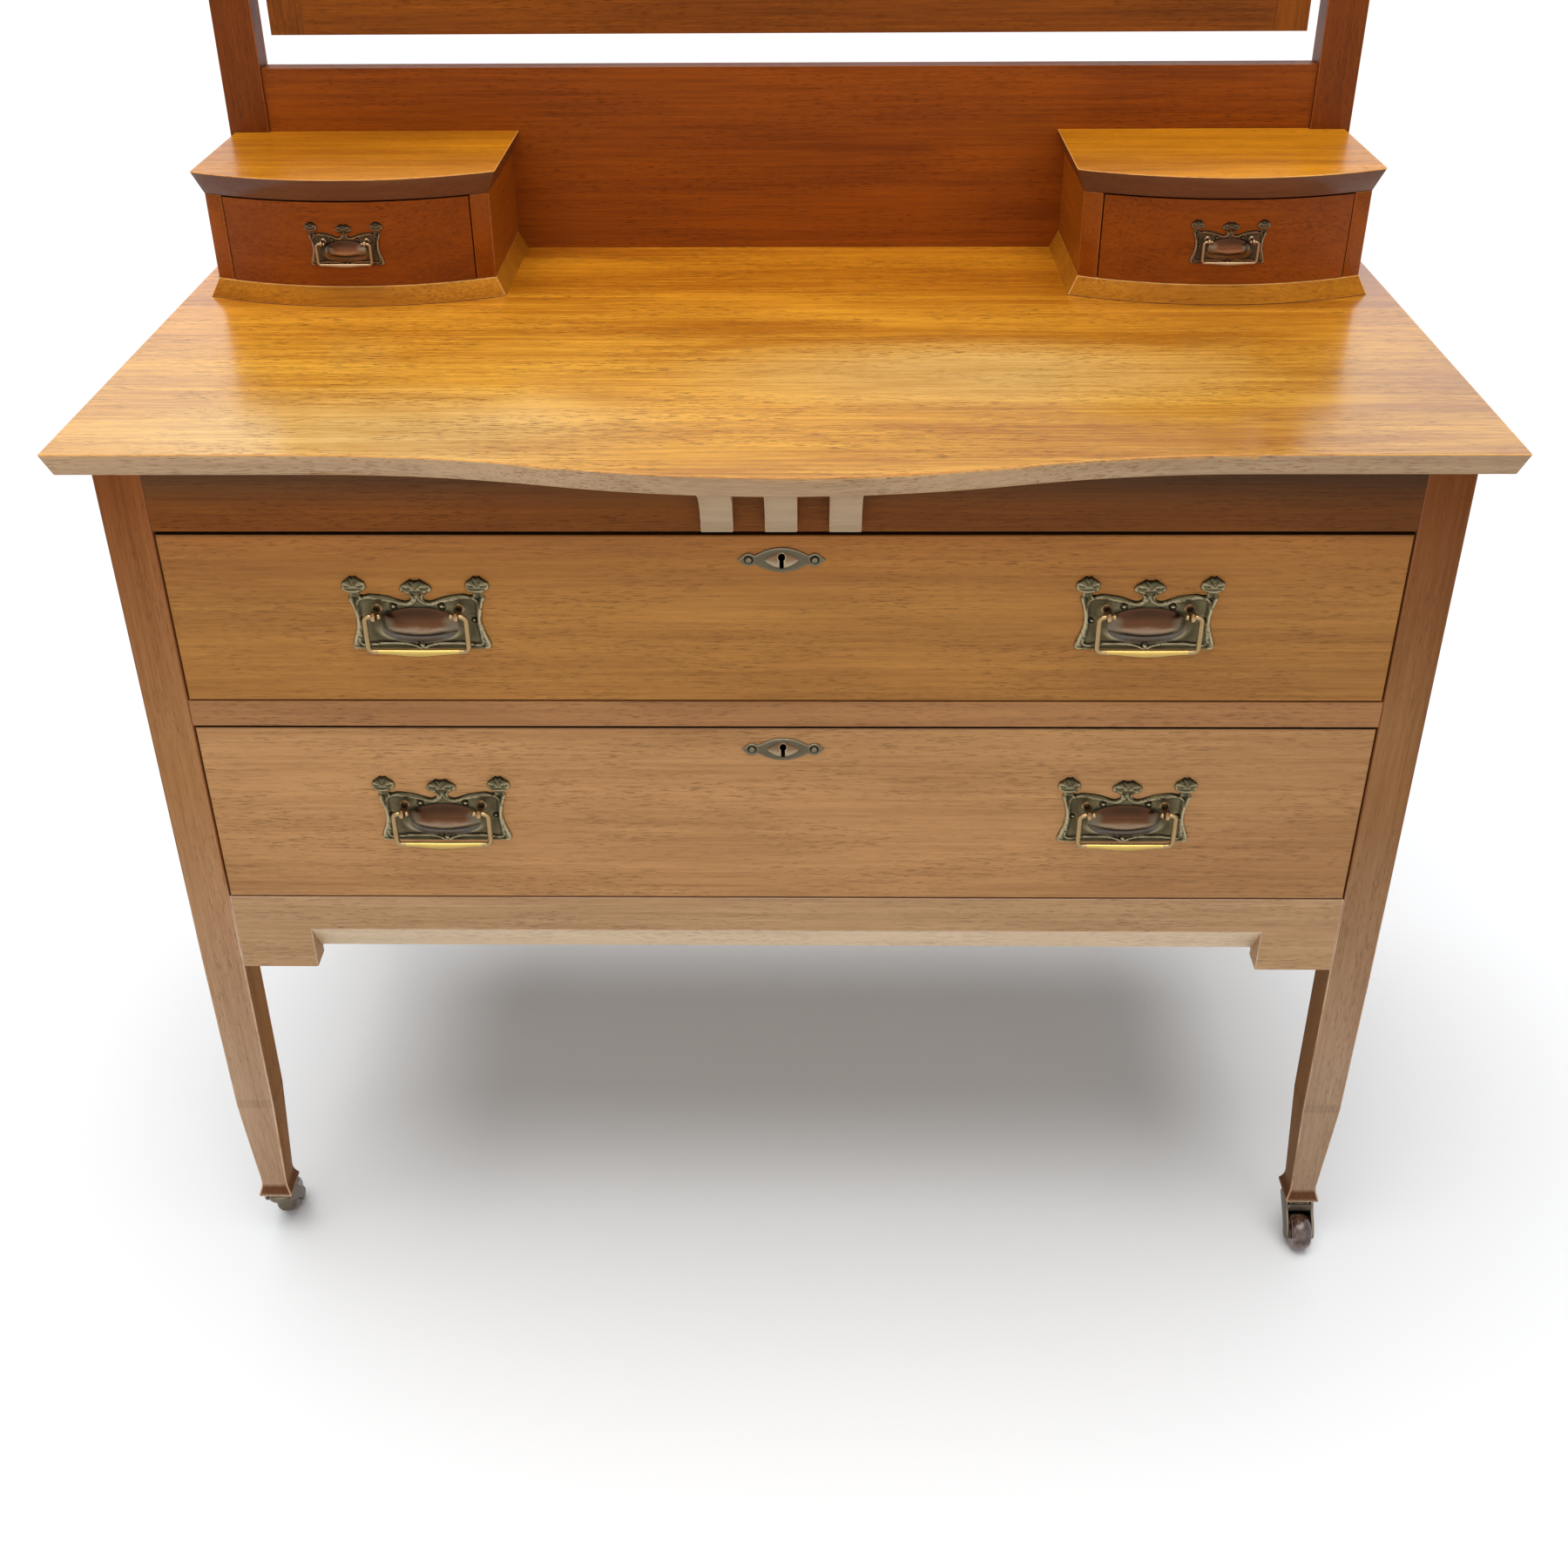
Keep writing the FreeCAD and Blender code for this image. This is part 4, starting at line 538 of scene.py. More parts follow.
plate_bronze = patina("escutcheon_bronze", (0.21, 0.175, 0.115), (0.115, 0.094, 0.06),
                      (0.03, 0.023, 0.014), 0.36)
# The eye's painted reflection: dark copper where it is turned up, pale brass where it is turned down.
eye_copper = patina("escutcheon_copper", (0.40, 0.32, 0.20), (0.23, 0.145, 0.085), (0.12, 0.06, 0.03), 0.3,
                    shade=0.12)
lock_brass = patina("lock_brass", (0.66, 0.48, 0.20), (0.46, 0.32, 0.12), (0.16, 0.10, 0.03), 0.28,
                    shaded_front=True)
knob_brass = patina("knob_brass", (0.50, 0.36, 0.15), (0.30, 0.20, 0.075), (0.10, 0.06, 0.02), 0.28)
castor_bronze = patina("castor_bronze", (0.17, 0.138, 0.098), (0.10, 0.08, 0.057),
                       (0.02, 0.016, 0.011), 0.36)
wheel_glaze = glazed_wheel("castor_wheel_glaze")
paint(lock_brass, "upper_drawer_lock", "lower_drawer_lock", *BOLTS)
paint(castor_bronze, "castor_sockets")


# Fittings: mesh helpers. All their sizes are in millimetres until they are built.
SEGMENTS = 24
TUBE_SIDES = 12
TINY = 1e-6
CUT_TOLERANCE = 1e-4


def curve(*points, steps=6):
    """A smooth line through the given points."""
    ends = [points[0], *points, points[-1]]
    line = []
    for before, start, end, after in zip(ends, ends[1:], ends[2:], ends[3:]):
        for step in range(steps):
            t = step / steps
            weights = (-t + 2 * t**2 - t**3, 2 - 5 * t**2 + 3 * t**3, t + 4 * t**2 - 3 * t**3, t**3 - t**2)
            line.append(tuple(sum(weight * place for weight, place in zip(weights, places)) / 2
                              for places in zip(before, start, end, after)))
    return line + [points[-1]]


def mirrored(half):
    """A closed outline from its right half, which runs from the bottom's middle to the top's."""
    return half + [(-x, z) for x, z in reversed(half) if x > TINY]


def away(places, line):
    """Each place's distance from a line of points."""
    start, end = np.array(line[:-1]), np.array(line[1:])
    run = end - start
    offset = places[:, None, :] - start
    share = np.clip((offset * run).sum(2) / (run**2).sum(1), 0, 1)
    return np.sqrt(((offset - share[..., None] * run) ** 2).sum(2)).min(1)


def inside(places, loop):
    """Which places lie within a closed loop."""
    crossings = np.zeros(len(places), int)
    x, z = places.T
    for (x0, z0), (x1, z1) in zip(loop, loop[1:] + loop[:1]):
        spans = (z0 > z) != (z1 > z)
        crossings += spans & (x < x0 + (x1 - x0) * (z - z0) / (z1 - z0 if z1 != z0 else 1))
    return crossings % 2 == 1


def grid_within(outline, lines, spacing):
    """Places on a square grid inside an outline that keep clear of all lines."""
    low, high = np.array(outline).min(0), np.array(outline).max(0)
    rows = [np.arange(a + spacing / 2, b, spacing) for a, b in zip(low, high)]
    grid = np.stack(np.meshgrid(*rows), 2).reshape(-1, 2)
    clear = inside(grid, outline)
    for line in lines:
        clear &= away(grid, line) > spacing * 0.5
    return grid[clear]


def bead(distance, radius, rise):
    """The height of a half-round bead at a distance from its middle."""
    return rise * np.sqrt(np.clip(1 - (distance / radius) ** 2, 0, None))


def pin_head(distance, radius, rise, ditch, depth):
    """The height of a round pin head in a narrow sunk ring."""
    return bead(distance, radius, rise) - depth * ((distance > radius) & (distance < radius + ditch))


def rolled_edge(edge, width):
    """The height of a sheet whose edge is rounded over, at a distance from that edge."""
    share = 1 - np.clip(edge / width, 0, 1)
    return EDGE_RISE + (SHEET - EDGE_RISE) * np.sqrt(np.clip(1 - share**2, 0, None))


def headings(line, closed=False):
    """The direction of a line of places at each of them."""
    ends = [line[-1], *line, line[0]] if closed else [line[0], *line, line[-1]]
    return [Vector((after[0] - before[0], after[1] - before[1])).normalized()
            for before, after in zip(ends, ends[2:])]


class Shape:
    """Points and faces of one piece, with a material slot for each face."""

    def __init__(self):
        self.points = []
        self.faces = []
        self.slots = []

    def add(self, points, faces, slot=0):
        start = len(self.points)
        self.points += [Vector(point) for point in points]
        self.faces += [[start + corner for corner in face] for face in faces]
        self.slots += [slot] * len(faces) if isinstance(slot, int) else slot

    def join(self, other, move):
        """Take in another shape, each of its points moved by a function."""
        self.add([move(point) for point in other.points], other.faces, list(other.slots))
        return self

    def turned(self, profile, axis, slot=0, closed=False, at=Vector()):
        """A surface of revolution about X, Y or Z through (radius, along) points, moved to a place."""
        rings = []
        points = []
        for radius, along in profile:
            count = SEGMENTS if radius > TINY else 1
            rings.append(range(len(points), len(points) + count))
            for step in range(count):
                angle = 2 * math.pi * step / count
                place = [along, radius * math.cos(angle), radius * math.sin(angle)]
                points.append(Vector(place[-axis:] + place[:-axis] if axis else place) + at)
        faces = []
        for low, high in zip(rings, [*rings[1:], rings[0]] if closed else rings[1:]):
            for step in range(SEGMENTS):
                after = (step + 1) % SEGMENTS
                face = [low[step % len(low)], high[step % len(high)], high[after % len(high)],
                        low[after % len(low)]]
                faces.append(list(dict.fromkeys(face)))
        self.add(points, [face for face in faces if len(face) > 2], slot)

    def swept(self, stations):
        """A tube in the XZ plane through (x, z, half height, half depth) stations."""
        turns = [2 * math.pi * step / TUBE_SIDES for step in range(TUBE_SIDES)]
        self.skinned([[(x - run.y * high * math.cos(turn), deep * math.sin(turn),
                        z + run.x * high * math.cos(turn)) for turn in turns]
                      for (x, z, high, deep), run in zip(stations, headings(stations))])

    def skinned(self, rings):
        """A closed skin over rings that have the same number of points."""
        count, last = len(rings[0]), (len(rings) - 1) * len(rings[0])
        faces = []
        for start in range(0, last, count):
            for step in range(count):
                after = (step + 1) % count
                faces.append([start + step, start + after, start + count + after, start + count + step])
        faces += [list(range(count))[::-1], list(range(last, last + count))]
        self.add([point for ring in rings for point in ring], faces)

    def pressed(self, outline, height, spacing, slot_at, crease=(), hole=()):
        """A sheet cut to an outline, flat behind, whose front rises to height(places)."""
        loops = [loop for loop in (outline, hole) if loop]
        rim = [point for loop in loops for point in loop]
        edges = []
        for loop in loops:
            start = len(edges)
            edges += [(start + step, start + (step + 1) % len(loop)) for step in range(len(loop))]
        lines = edges + [(step, step + 1) for step in range(len(rim), len(rim) + len(crease) - 1)]
        lined = [loop + loop[:1] for loop in loops] + ([crease] if crease else [])
        seeds = [Vector(point) for point in (*rim, *crease, *grid_within(outline, lined, spacing))]
        places, _, triangles, *_ = delaunay_2d_cdt(seeds, lines, [], 1, CUT_TOLERANCE)
        places = np.array([tuple(place) for place in places])
        middles = np.array([places[list(face)].mean(0) for face in triangles])
        kept = ~inside(middles, hole) if hole else np.ones(len(middles), bool)
        front = [list(face) for face, keep in zip(triangles, kept) if keep]
        slots = slot_at(middles[kept]).tolist()
        rise = height(places)
        points = [(x, -y, z) for (x, z), y in zip(places, rise)]
        count = len(points)
        points += [(x, 0, z) for x, z in rim]
        sides = [[a, count + a, count + b, b] for a, b in edges]
        flat, _, back, *_ = delaunay_2d_cdt(seeds[:len(rim)], edges, [], 1, CUT_TOLERANCE)
        flat = np.array([tuple(place) for place in flat])
        keep_back = [face for face in back
                     if not (hole and inside(flat[list(face)].mean(0)[None], hole)[0])]
        faces = front + sides + [[count + corner for corner in reversed(face)] for face in keep_back]
        self.add(points, faces, slots + [0] * (len(sides) + len(keep_back)))


def piece(node, shape, *materials, sharp=40):
    """Build a shape as an object that rides with a CAD node's body and stands for that node."""
    name = f"{node}_fitting"
    mesh = bpy.data.meshes.new(name)
    mesh.from_pydata([point * MM for point in shape.points], [], shape.faces)
    mesh.polygons.foreach_set("material_index", shape.slots)
    for material in materials:
        mesh.materials.append(material)
    skin = bmesh.new()
    skin.from_mesh(mesh)
    bmesh.ops.recalc_face_normals(skin, faces=skin.faces)
    skin.to_mesh(mesh)
    skin.free()
    mesh.shade_smooth()
    mesh.set_sharp_from_angle(angle=math.radians(sharp))
    made = placed(name, mesh)
    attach(made, body_of[node])
    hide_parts(node)


def box_of(node):
    """A CAD node's low and high corner, in millimetres."""
    return [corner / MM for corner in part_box(node)]


def moved(place, scale=1.0, bow=None):
    """A move to a place, after a change of size and, for a bowed front, a bend along it."""
    def move(point):
        point = point * scale
        if bow:
            point = point + Vector((0, bow - math.sqrt(bow**2 - point.x**2), 0))
        return point + place
    return move


# Drawer handles, at their large size. Places are (across, up) from the middle of a plate's bottom edge.
JEWEL_SCALE = 0.6
JEWEL_BOW = 304.6
WIRE = 1.8
ARM = 2.15
POST_PLACE, POST_RISE, POST_STAND = 31.5, 35.5, 14.0
POST_SLOT = 2
# A post as (radius, along), and the ring that is its eye.
POST_PROFILE = ((0, 0), (4.6, 0), (4.9, -1.2), (4.4, -2.2), (3, -2.8), (2.3, -4), (1.9, -6.5), (2.1, -9),
                (1.7, -10.6), (0, -10.8))
EYE_RADIUS, EYE_THICK, EYE_WIDE = 3.2, 1.15, 1.9
BAIL_HALF, BAIL_DROP, BAIL_CORNER = 38.6, 30.4, 4.2
GRIP_HALF = 31.0
# Balls at a bail's ends, as (across, radius), and how its grip sags, thickens and deepens.
BALL_END = ((25.6, 0.5), (25.9, 1.5), (26.6, 2.2), (27.5, 2.5), (28.4, 2.2), (29, WIRE), (32, WIRE))
GRIP_SAG, GRIP_SWELL, GRIP_DEPTH = 1.3, 1.2, 0.5
GRIP_STATIONS = 31
SHEET = 1.4
EDGE_RISE = 0.5
EDGE_ROUND = 1.4
# Beads on a backplate, as (radius, rise), and a finial's height and rim.
RIM_INSET, RIM_BEAD = 1.3, (1.0, 0.6)
BORDER_BEAD, COLUMN_BEAD = (0.95, 1.0), (2.1, 1.2)
PLATE_TOP = 48
HEAD_RISE, HEAD_BEAD = 3.0, (1.5, 1.3)
RIVET_RISE, RIVET_DITCH, RIVET_DEPTH = 1.6, 0.9, 0.5
PLATE_SPACING = 0.9
SWELL_PLACE = 21.4
SWELL_HALF = (37.0, 16.6)
SWELL_POWER = 2.2
SWELL_RISE = 6.4
COPPER_HALF = (30.0, 15.2)
# Finials as (middle, half width, half height, lobes), and rivets as (across, up, radius).
HEADS = (((47.0, 56.5), 9.6, 6.4, 6), ((0.0, 54.7), 12.4, 5.6, 8))
RIVETS = ((18.5, 38.2, 2.0), (42.4, 26.5, 1.5), (0.0, 4.8, 2.0))

HANDLE_OUTLINE = mirrored([
    (0, 0), (20, 0),
    *curve((44, 0), (50, 0.2), (53.8, 2.4), (53.4, 7), (50, 16.4), (48.4, 26), (49.6, 36.4), (52.6, 44.8)),
    *curve((51.2, 46.9), (50.8, 49.4), (53, 50.9), (56.4, 53.8), (55.6, 58), (52.4, 60.7)),
    *curve((51, 61.7), (49, 63.4), (47, 62.6), (45, 63.4), (43, 61.7)),
    *curve((41.6, 60.7), (38.4, 58), (37.6, 53.8), (41, 50.9), (43.2, 49.4), (42.8, 47.4)),
    *curve((40, 47.2), (34.8, 48.2), (22.3, 46.3), (11, 42.4), (6.6, 42.8), (4.8, 44.8), (5, 46.6)),
    *curve((7.4, 48), (12.2, 51.7), (11.2, 55.3), (7.6, 58)),
    *curve((6.4, 58.8), (3.8, 60.5), (1.6, 59.7), (0, 59.7)),
])
HANDLE_BORDER = curve(
    (0, 1.9), (4, 3.6), (13, 6), (27, 6.6), (40, 5), (45, 4.8), (47.4, 7.4), (46.4, 16.4), (45.4, 26),
    (46, 36.4), (45.6, 42.8), (41.6, 45.3), (35, 45.5), (23, 43.4), (14, 40.6), (8.6, 39.6), (4.4, 41),
    (1.5, 44.4), (1, 48))
COLUMN = curve((50.8, 2.6), (50, 9), (47.6, 18.8), (46.9, 26), (47.8, 35.4), (49.6, 43.8))


def copper_edge(count=72):
    """The oval round the copper part of the plate's swell."""
    def rounded(share):
        return math.copysign(abs(share) ** (2 / SWELL_POWER), share)

    wide, high = COPPER_HALF
    turns = [2 * math.pi * step / count for step in range(count + 1)]
    return [(wide * rounded(math.cos(turn)), SWELL_PLACE + high * rounded(math.sin(turn))) for turn in turns]


def swell_reach(places, half):
    """How far out each place lies in an oval: 0 in the middle, 1 at its edge."""
    x, z = abs(places - np.array((0, SWELL_PLACE))).T
    return ((x / half[0]) ** SWELL_POWER + (z / half[1]) ** SWELL_POWER) ** (1 / SWELL_POWER)


def head_relief(right, middle, half_wide, half_high, lobes):
    """A mushroom finial: a rim below, pale from rubbing and from painted reflection, and a lobed cap above,
    darkened by painted reflection.
    """
    offset = right - np.array(middle)
    x, z = offset.T
    round_share = np.clip(1 - (x / half_wide) ** 2 - (z / half_high) ** 2, 0, None)
    grooves = 1 - 0.22 * (np.cos(np.arctan2(z, x) * lobes) > 0.82) * (z > -1)
    rim = [(middle[0] + half_wide * x, middle[1] - half_high * 0.56 - 1.6 * (1 - x * x))
           for x in np.linspace(-0.95, 0.95, 13)]
    return HEAD_RISE * np.sqrt(round_share) * grooves + bead(away(right, rim), *HEAD_BEAD)


def handle_relief(places):
    """How high a backplate's front stands above its back."""
    right = np.stack([abs(places[:, 0]), places[:, 1]], 1)
    edge = away(places, HANDLE_OUTLINE + HANDLE_OUTLINE[:1])
    height = rolled_edge(edge, EDGE_ROUND)
    height += bead(edge - RIM_INSET, *RIM_BEAD) * (right[:, 1] < PLATE_TOP)
    height += bead(away(right, HANDLE_BORDER), *BORDER_BEAD)
    height += bead(away(right, COLUMN), *COLUMN_BEAD)
    height += SWELL_RISE * (1 - np.clip(swell_reach(places, SWELL_HALF), 0, 1) ** 3) ** 2
    for x, z, radius in RIVETS:
        distance = np.hypot(right[:, 0] - x, right[:, 1] - z)
        height += pin_head(distance, radius, RIVET_RISE, RIVET_DITCH, RIVET_DEPTH)
    for head in HEADS:
        height += head_relief(right, *head)
    return height


def backplate():
    """A pressed backplate with its two eye posts."""
    shape = Shape()
    shape.pressed(HANDLE_OUTLINE, handle_relief, PLATE_SPACING,
                  lambda middles: (swell_reach(middles, COPPER_HALF) < 1).astype(int), copper_edge())
    turns = np.linspace(0, 2 * math.pi, 13)[:-1]
    ring = [(EYE_RADIUS + EYE_THICK * math.cos(turn), EYE_WIDE * math.sin(turn)) for turn in turns]
    for side in (-1, 1):
        shape.turned(POST_PROFILE, 1, POST_SLOT, at=Vector((side * POST_PLACE, 0, POST_RISE)))
        shape.turned(ring, 0, POST_SLOT, True, Vector((side * POST_PLACE, -POST_STAND, POST_RISE)))
    return shape


def bail():
    """A bent rod with ball ends and a leaf-shaped grip that is straight above and bowed below."""
    arm = [(x, 0, radius, radius) for x, radius in BALL_END]
    reach, corner = BAIL_HALF - BAIL_CORNER, BAIL_DROP - BAIL_CORNER
    for x, z, start in ((reach, -BAIL_CORNER, 90), (reach, -corner, 0)):
        for step in range(7):
            angle = math.radians(start - 15 * step)
            arm.append((x + BAIL_CORNER * math.cos(angle), z + BAIL_CORNER * math.sin(angle), ARM, ARM))
    grip = []
    for x in np.linspace(GRIP_HALF, -GRIP_HALF, GRIP_STATIONS):
        swell = math.cos(math.pi * x / (2 * GRIP_HALF)) ** 2
        grip.append((x, -BAIL_DROP - GRIP_SAG * swell, ARM + GRIP_SWELL * swell, ARM + GRIP_DEPTH * swell))
    shape = Shape()
    left = [(-x, z, high, deep) for x, z, high, deep in reversed(arm)]
    shape.swept(arm + grip + left)
    first, last = len(arm) * TUBE_SIDES, (len(arm) + len(grip)) * TUBE_SIDES
    for index, face in enumerate(shape.faces):
        shape.slots[index] = int(min(face) >= first and max(face) < last)
    return shape


def bail_middle(node, scale):
    """The middle of the line that a bail swings about, in millimetres."""
    low, high = box_of(node)
    return Vector(((low.x + high.x) / 2, (low.y + high.y) / 2, high.z - WIRE * scale))


def handles():
    """Every backplate and bail, the jewel drawers' at a smaller size and bent to their bowed fronts."""
    plate, ring = backplate(), bail()
    large = (handle_bronze, handle_copper, post_copper), (bail_brass, grip_brass)
    small = (jewel_bronze, jewel_copper, jewel_brass), (jewel_brass, jewel_brass)
    sides = ("left", "right")
    sets = [(f"{level}_drawer_handles", [f"{level}_drawer_bail_{side}" for side in sides], 1.0, None, large)
            for level in ("upper", "lower")]
    sets += [(f"{side}_jewel_handle", [f"{side}_jewel_bail"], JEWEL_SCALE, JEWEL_BOW, small)
             for side in sides]
    for node, bails, scale, bow, (plate_metals, bail_metals) in sets:
        plates = Shape()
        for name in bails:
            middle = bail_middle(name, scale)
            seat = middle + Vector((0, POST_STAND, -POST_RISE)) * scale
            plates.join(plate, moved(seat, scale, bow))
            piece(name, Shape().join(ring, moved(middle, scale)), *bail_metals)
        piece(node, plates, *plate_metals, sharp=60)


# Escutcheons. Places are from the middle of the plate.
EAR_PLACE = 24.9
# An ear's pin as (radius, rise, width and depth of the ring round it).
EAR_PIN = (2.6, 1.5, 1.1, 0.6)
ESCUTCHEON_ROUND = 1.3
ESCUTCHEON_SPACING = 0.55
EYE_RISE = 1.6
EYE_HALF = (13.0, 6.4)
KEY_RADIUS, KEY_SLOT, KEY_FOOT = 2.9, 1.65, -7.0


def quartered(quarter):
    """A closed outline from the quarter that runs from its right tip to its top."""
    upper = quarter + [(-x, z) for x, z in reversed(quarter[:-1])]
    return upper + [(x, -z) for x, z in reversed(upper[1:-1])]


ESCUTCHEON_OUTLINE = quartered([
    (33.2, 0),
    *curve((29.6, 3.2), (27.6, 4.9), (24.9, 5.6), (22.2, 4.9), (20.4, 3.9)),
    *curve((18.6, 4.8), (13, 7.6), (6.5, 9.8), (0, 10.5)),
])


def keyhole():
    """A round hole with a slot below it, listed clockwise."""
    start = math.asin(KEY_SLOT / KEY_RADIUS)
    turns = np.linspace(-math.pi / 2 - start, -2.5 * math.pi + start, 21)
    return [(-KEY_SLOT, KEY_FOOT)] + [(KEY_RADIUS * math.cos(turn), KEY_RADIUS * (1 + math.sin(turn)))
                                      for turn in turns] + [(KEY_SLOT, KEY_FOOT)]


def eye_share(places):
    """How high each place lies on the swelled eye round the keyhole: 1 in its middle, 0 outside it."""
    x, z = abs(places).T
    high = np.clip(1 - (x / EYE_HALF[0]) ** 2, TINY, None)
    return np.clip(high - (z / EYE_HALF[1]) ** 2 / high, 0, None)


def escutcheon_relief(places):
    """How high an escutcheon's front stands above its back."""
    edge = away(places, ESCUTCHEON_OUTLINE + ESCUTCHEON_OUTLINE[:1])
    pins = np.hypot(abs(places[:, 0]) - EAR_PLACE, places[:, 1])
    return (rolled_edge(edge, ESCUTCHEON_ROUND) + EYE_RISE * eye_share(places)
            + pin_head(pins, *EAR_PIN))


def escutcheons():
    """Both keyhole plates."""
    shape = Shape()
    shape.pressed(ESCUTCHEON_OUTLINE, escutcheon_relief, ESCUTCHEON_SPACING,
                  lambda middles: (eye_share(middles) > 0).astype(int), hole=keyhole())
    for node in ("upper_drawer_escutcheon", "lower_drawer_escutcheon"):
        low, high = box_of(node)
        seat = moved(Vector(((low.x + high.x) / 2, high.y, (low.z + high.z) / 2)))
        piece(node, Shape().join(shape, seat), plate_bronze, eye_copper, sharp=60)


# Castors. Places are (back, up) from the pintle, before the castor is swivelled.
CHEEK_OUTLINE = curve((8, 45.4), (-6, 45.6), (-9.6, 40), (-3, 33), (8, 24), (14.2, 16.4), (17.4, 11),
                      (21, 10), (25.4, 11.6), (27.6, 17), (22, 27), (14, 36), (11, 42), (8, 45.4))[:-1]
# The shell between the cheeks, as (back, up, half width, bulge), from the crown to the wheel's front.
SHELL = curve((13, 45.6, 10.7, 0), (13.3, 40, 10.7, 0), (12.4, 36.8, 10.7, 0), (8.5, 34.9, 10.7, 0),
              (5, 32.2, 10.7, 0.8), (5.4, 28, 10.7, 3.6), (9.2, 23, 10.7, 7.8), (9.8, 18.5, 10.2, 8.1),
              (5.2, 15, 8.2, 3.4), (3.2, 12.4, 4.6, 1.4), steps=3)
SHELL_DEPTH = 1.0
AXLE = Vector((0, 21, 17))
# Turned parts, as (radius, along).
CROWN_PROFILE = ((3.7, 37.7), (11.4, 37.7), (12.9, 38.6), (13.5, 40.4), (13.4, 43.2), (12.4, 45.2),
                 (10.6, 46.3), (3.7, 46.5))
RIVET_PROFILE = ((0, 13.2), (4.2, 13.2), (4.2, 13.3), (3.2, 13.45), (0, 13.5))
AXLE_PROFILE = ((0, -10.6), (2.4, -10.6), (2.4, 10.6), (0, 10.6))
HALF_WHEEL = ((2.6, 10), (6.2, 10), (6.8, 9.2), (10.6, 8.9), (12.2, 9.2), (13.6, 8.7), (15, 7.3),
              (16.1, 5.2), (16.8, 2.8), (17, 0.9))
SHELL_PLACES = (-1, -0.94, -0.85, -0.6, 0, 0.6, 0.85, 0.94, 1)
CHEEK_LAYERS = ((10.5, 0.6), (10.9, 0.1), (12.6, 0.1), (13.3, 0.7), (13.5, 1.6))


def inset_loop(loop, depth):
    """A closed loop drawn in towards its inside."""
    return [(x - run.y * depth, z + run.x * depth) for (x, z), run in zip(loop, headings(loop, True))]


def horn():
    """Crown, two cheeks with rounded edges, their rivet heads, the shell and the axle between them."""
    shape = Shape()
    shape.turned(CROWN_PROFILE, 2, closed=True)
    for side in (-1, 1):
        shape.skinned([[(side * across, back, up) for back, up in inset_loop(CHEEK_OUTLINE, depth)]
                       for across, depth in CHEEK_LAYERS])
        shape.turned([(radius, along * side) for radius, along in RIVET_PROFILE], 0, at=AXLE)
    rings = []
    for (back, up, half, bulge), run in zip(SHELL, headings(SHELL)):
        outer = [(half * place, back - bulge * (1 - place**6), up) for place in SHELL_PLACES]
        rings.append(outer + [(x, y - run.y * SHELL_DEPTH, z + run.x * SHELL_DEPTH)
                              for x, y, z in reversed(outer)])
    shape.skinned(rings)
    shape.turned(AXLE_PROFILE, 0, at=AXLE)
    return shape


def castor_wheel():
    """A barrel-shaped wheel with dished sides and a bore."""
    shape = Shape()
    other_half = [(radius, -along) for radius, along in reversed(HALF_WHEEL)]
    shape.turned([*HALF_WHEEL, *other_half], 0, closed=True)
    return shape


def castors():
    """Four horns and wheels, each turned the way its CAD wheel trails."""
    fork, roller = horn(), castor_wheel()
    for end in ("front", "back"):
        for side in ("left", "right"):
            name = f"castor_{end}_{side}"
            leg, wheel = ([(a + b) / 2 / MM for a, b in zip(*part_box(node))]
                          for node in (f"{end}_leg_{side}", f"{name}_wheel"))
            turn = Matrix.Rotation(math.atan2(leg[0] - wheel[0], wheel[1] - leg[1]), 3, "Z")
            for node, shape, start, material in ((f"{name}_horn", fork, (*leg[:2], 0), castor_bronze),
                                                 (f"{name}_wheel", roller, wheel, wheel_glaze)):
                made = Shape().join(shape, lambda point: turn @ point + Vector(start))
                piece(node, made, material)


PIVOT_GAP = 0.4


def pivots():
    """Turned mirror pivots: pin, bobbin collar, shaft and a knob with a dished end."""
    low, high = box_of("mirror_pivots")
    edge = box_of("mirror_frame")[1].x
    post = [corner.x for corner in box_of("upright_right")]
    inner, outer = post[0] - PIVOT_GAP, post[1] + PIVOT_GAP
    middle = (inner + edge) / 2
    profile = [
        (0, edge - 18), (4, edge - 18), (4, edge), (9, edge), (9, edge + 1.8), (7.2, edge + 3), (6, middle),
        (7.2, inner - 3), (9, inner - 1.8), (9, inner), (4, inner), (4, outer), (7, outer), (7.4, outer + 1),
        (6, outer + 2.2), (5.2, outer + 3.8), (7.4, outer + 5), (10.2, outer + 6.6), (11, outer + 9),
        (10.6, outer + 11.6), (9, outer + 13.8), (7, outer + 14.8), (6.2, outer + 14.4), (3.4, outer + 13.9),
        (2.6, outer + 14.6), (1.4, outer + 15.3), (0, outer + 15.4),
    ]
    shape = Shape()
    for side in (-1, 1):
        shape.turned([(radius, side * along) for radius, along in profile], 0,
                     at=Vector((0, (low.y + high.y) / 2, (low.z + high.z) / 2)))
    piece("mirror_pivots", shape, knob_brass)


handles()
escutcheons()
castors()
pivots()


# Light, floor and camera.
PHOTO_SIDE = 1800
PHOTO_FOCUS = 2009.1
PHOTO_CENTRE_Y = 800
CAMERA_PLACE = Vector((0.0210, -1.4016, 1.3203))
CAMERA_PITCH, CAMERA_YAW, CAMERA_ROLL = (math.radians(angle) for angle in (31.04, -0.97, 0.42))
SENSOR = 36.0
WORLD_FILL = 0.25
FLOOR_HALF, FLOOR_LIFT = 30.0, 0.02
FLOOR_COLOUR, WHITE = (0.925, 0.94, 0.955, 1), (1, 1, 1, 1)
# Lamps as (direction, strength, width in degrees).
KEY_LIGHT = ((-0.08, -0.05, 1.0), 2.55, 54)
FRONT_LIGHT = ((0.1, -1.0, 0.45), 0.62, 70)


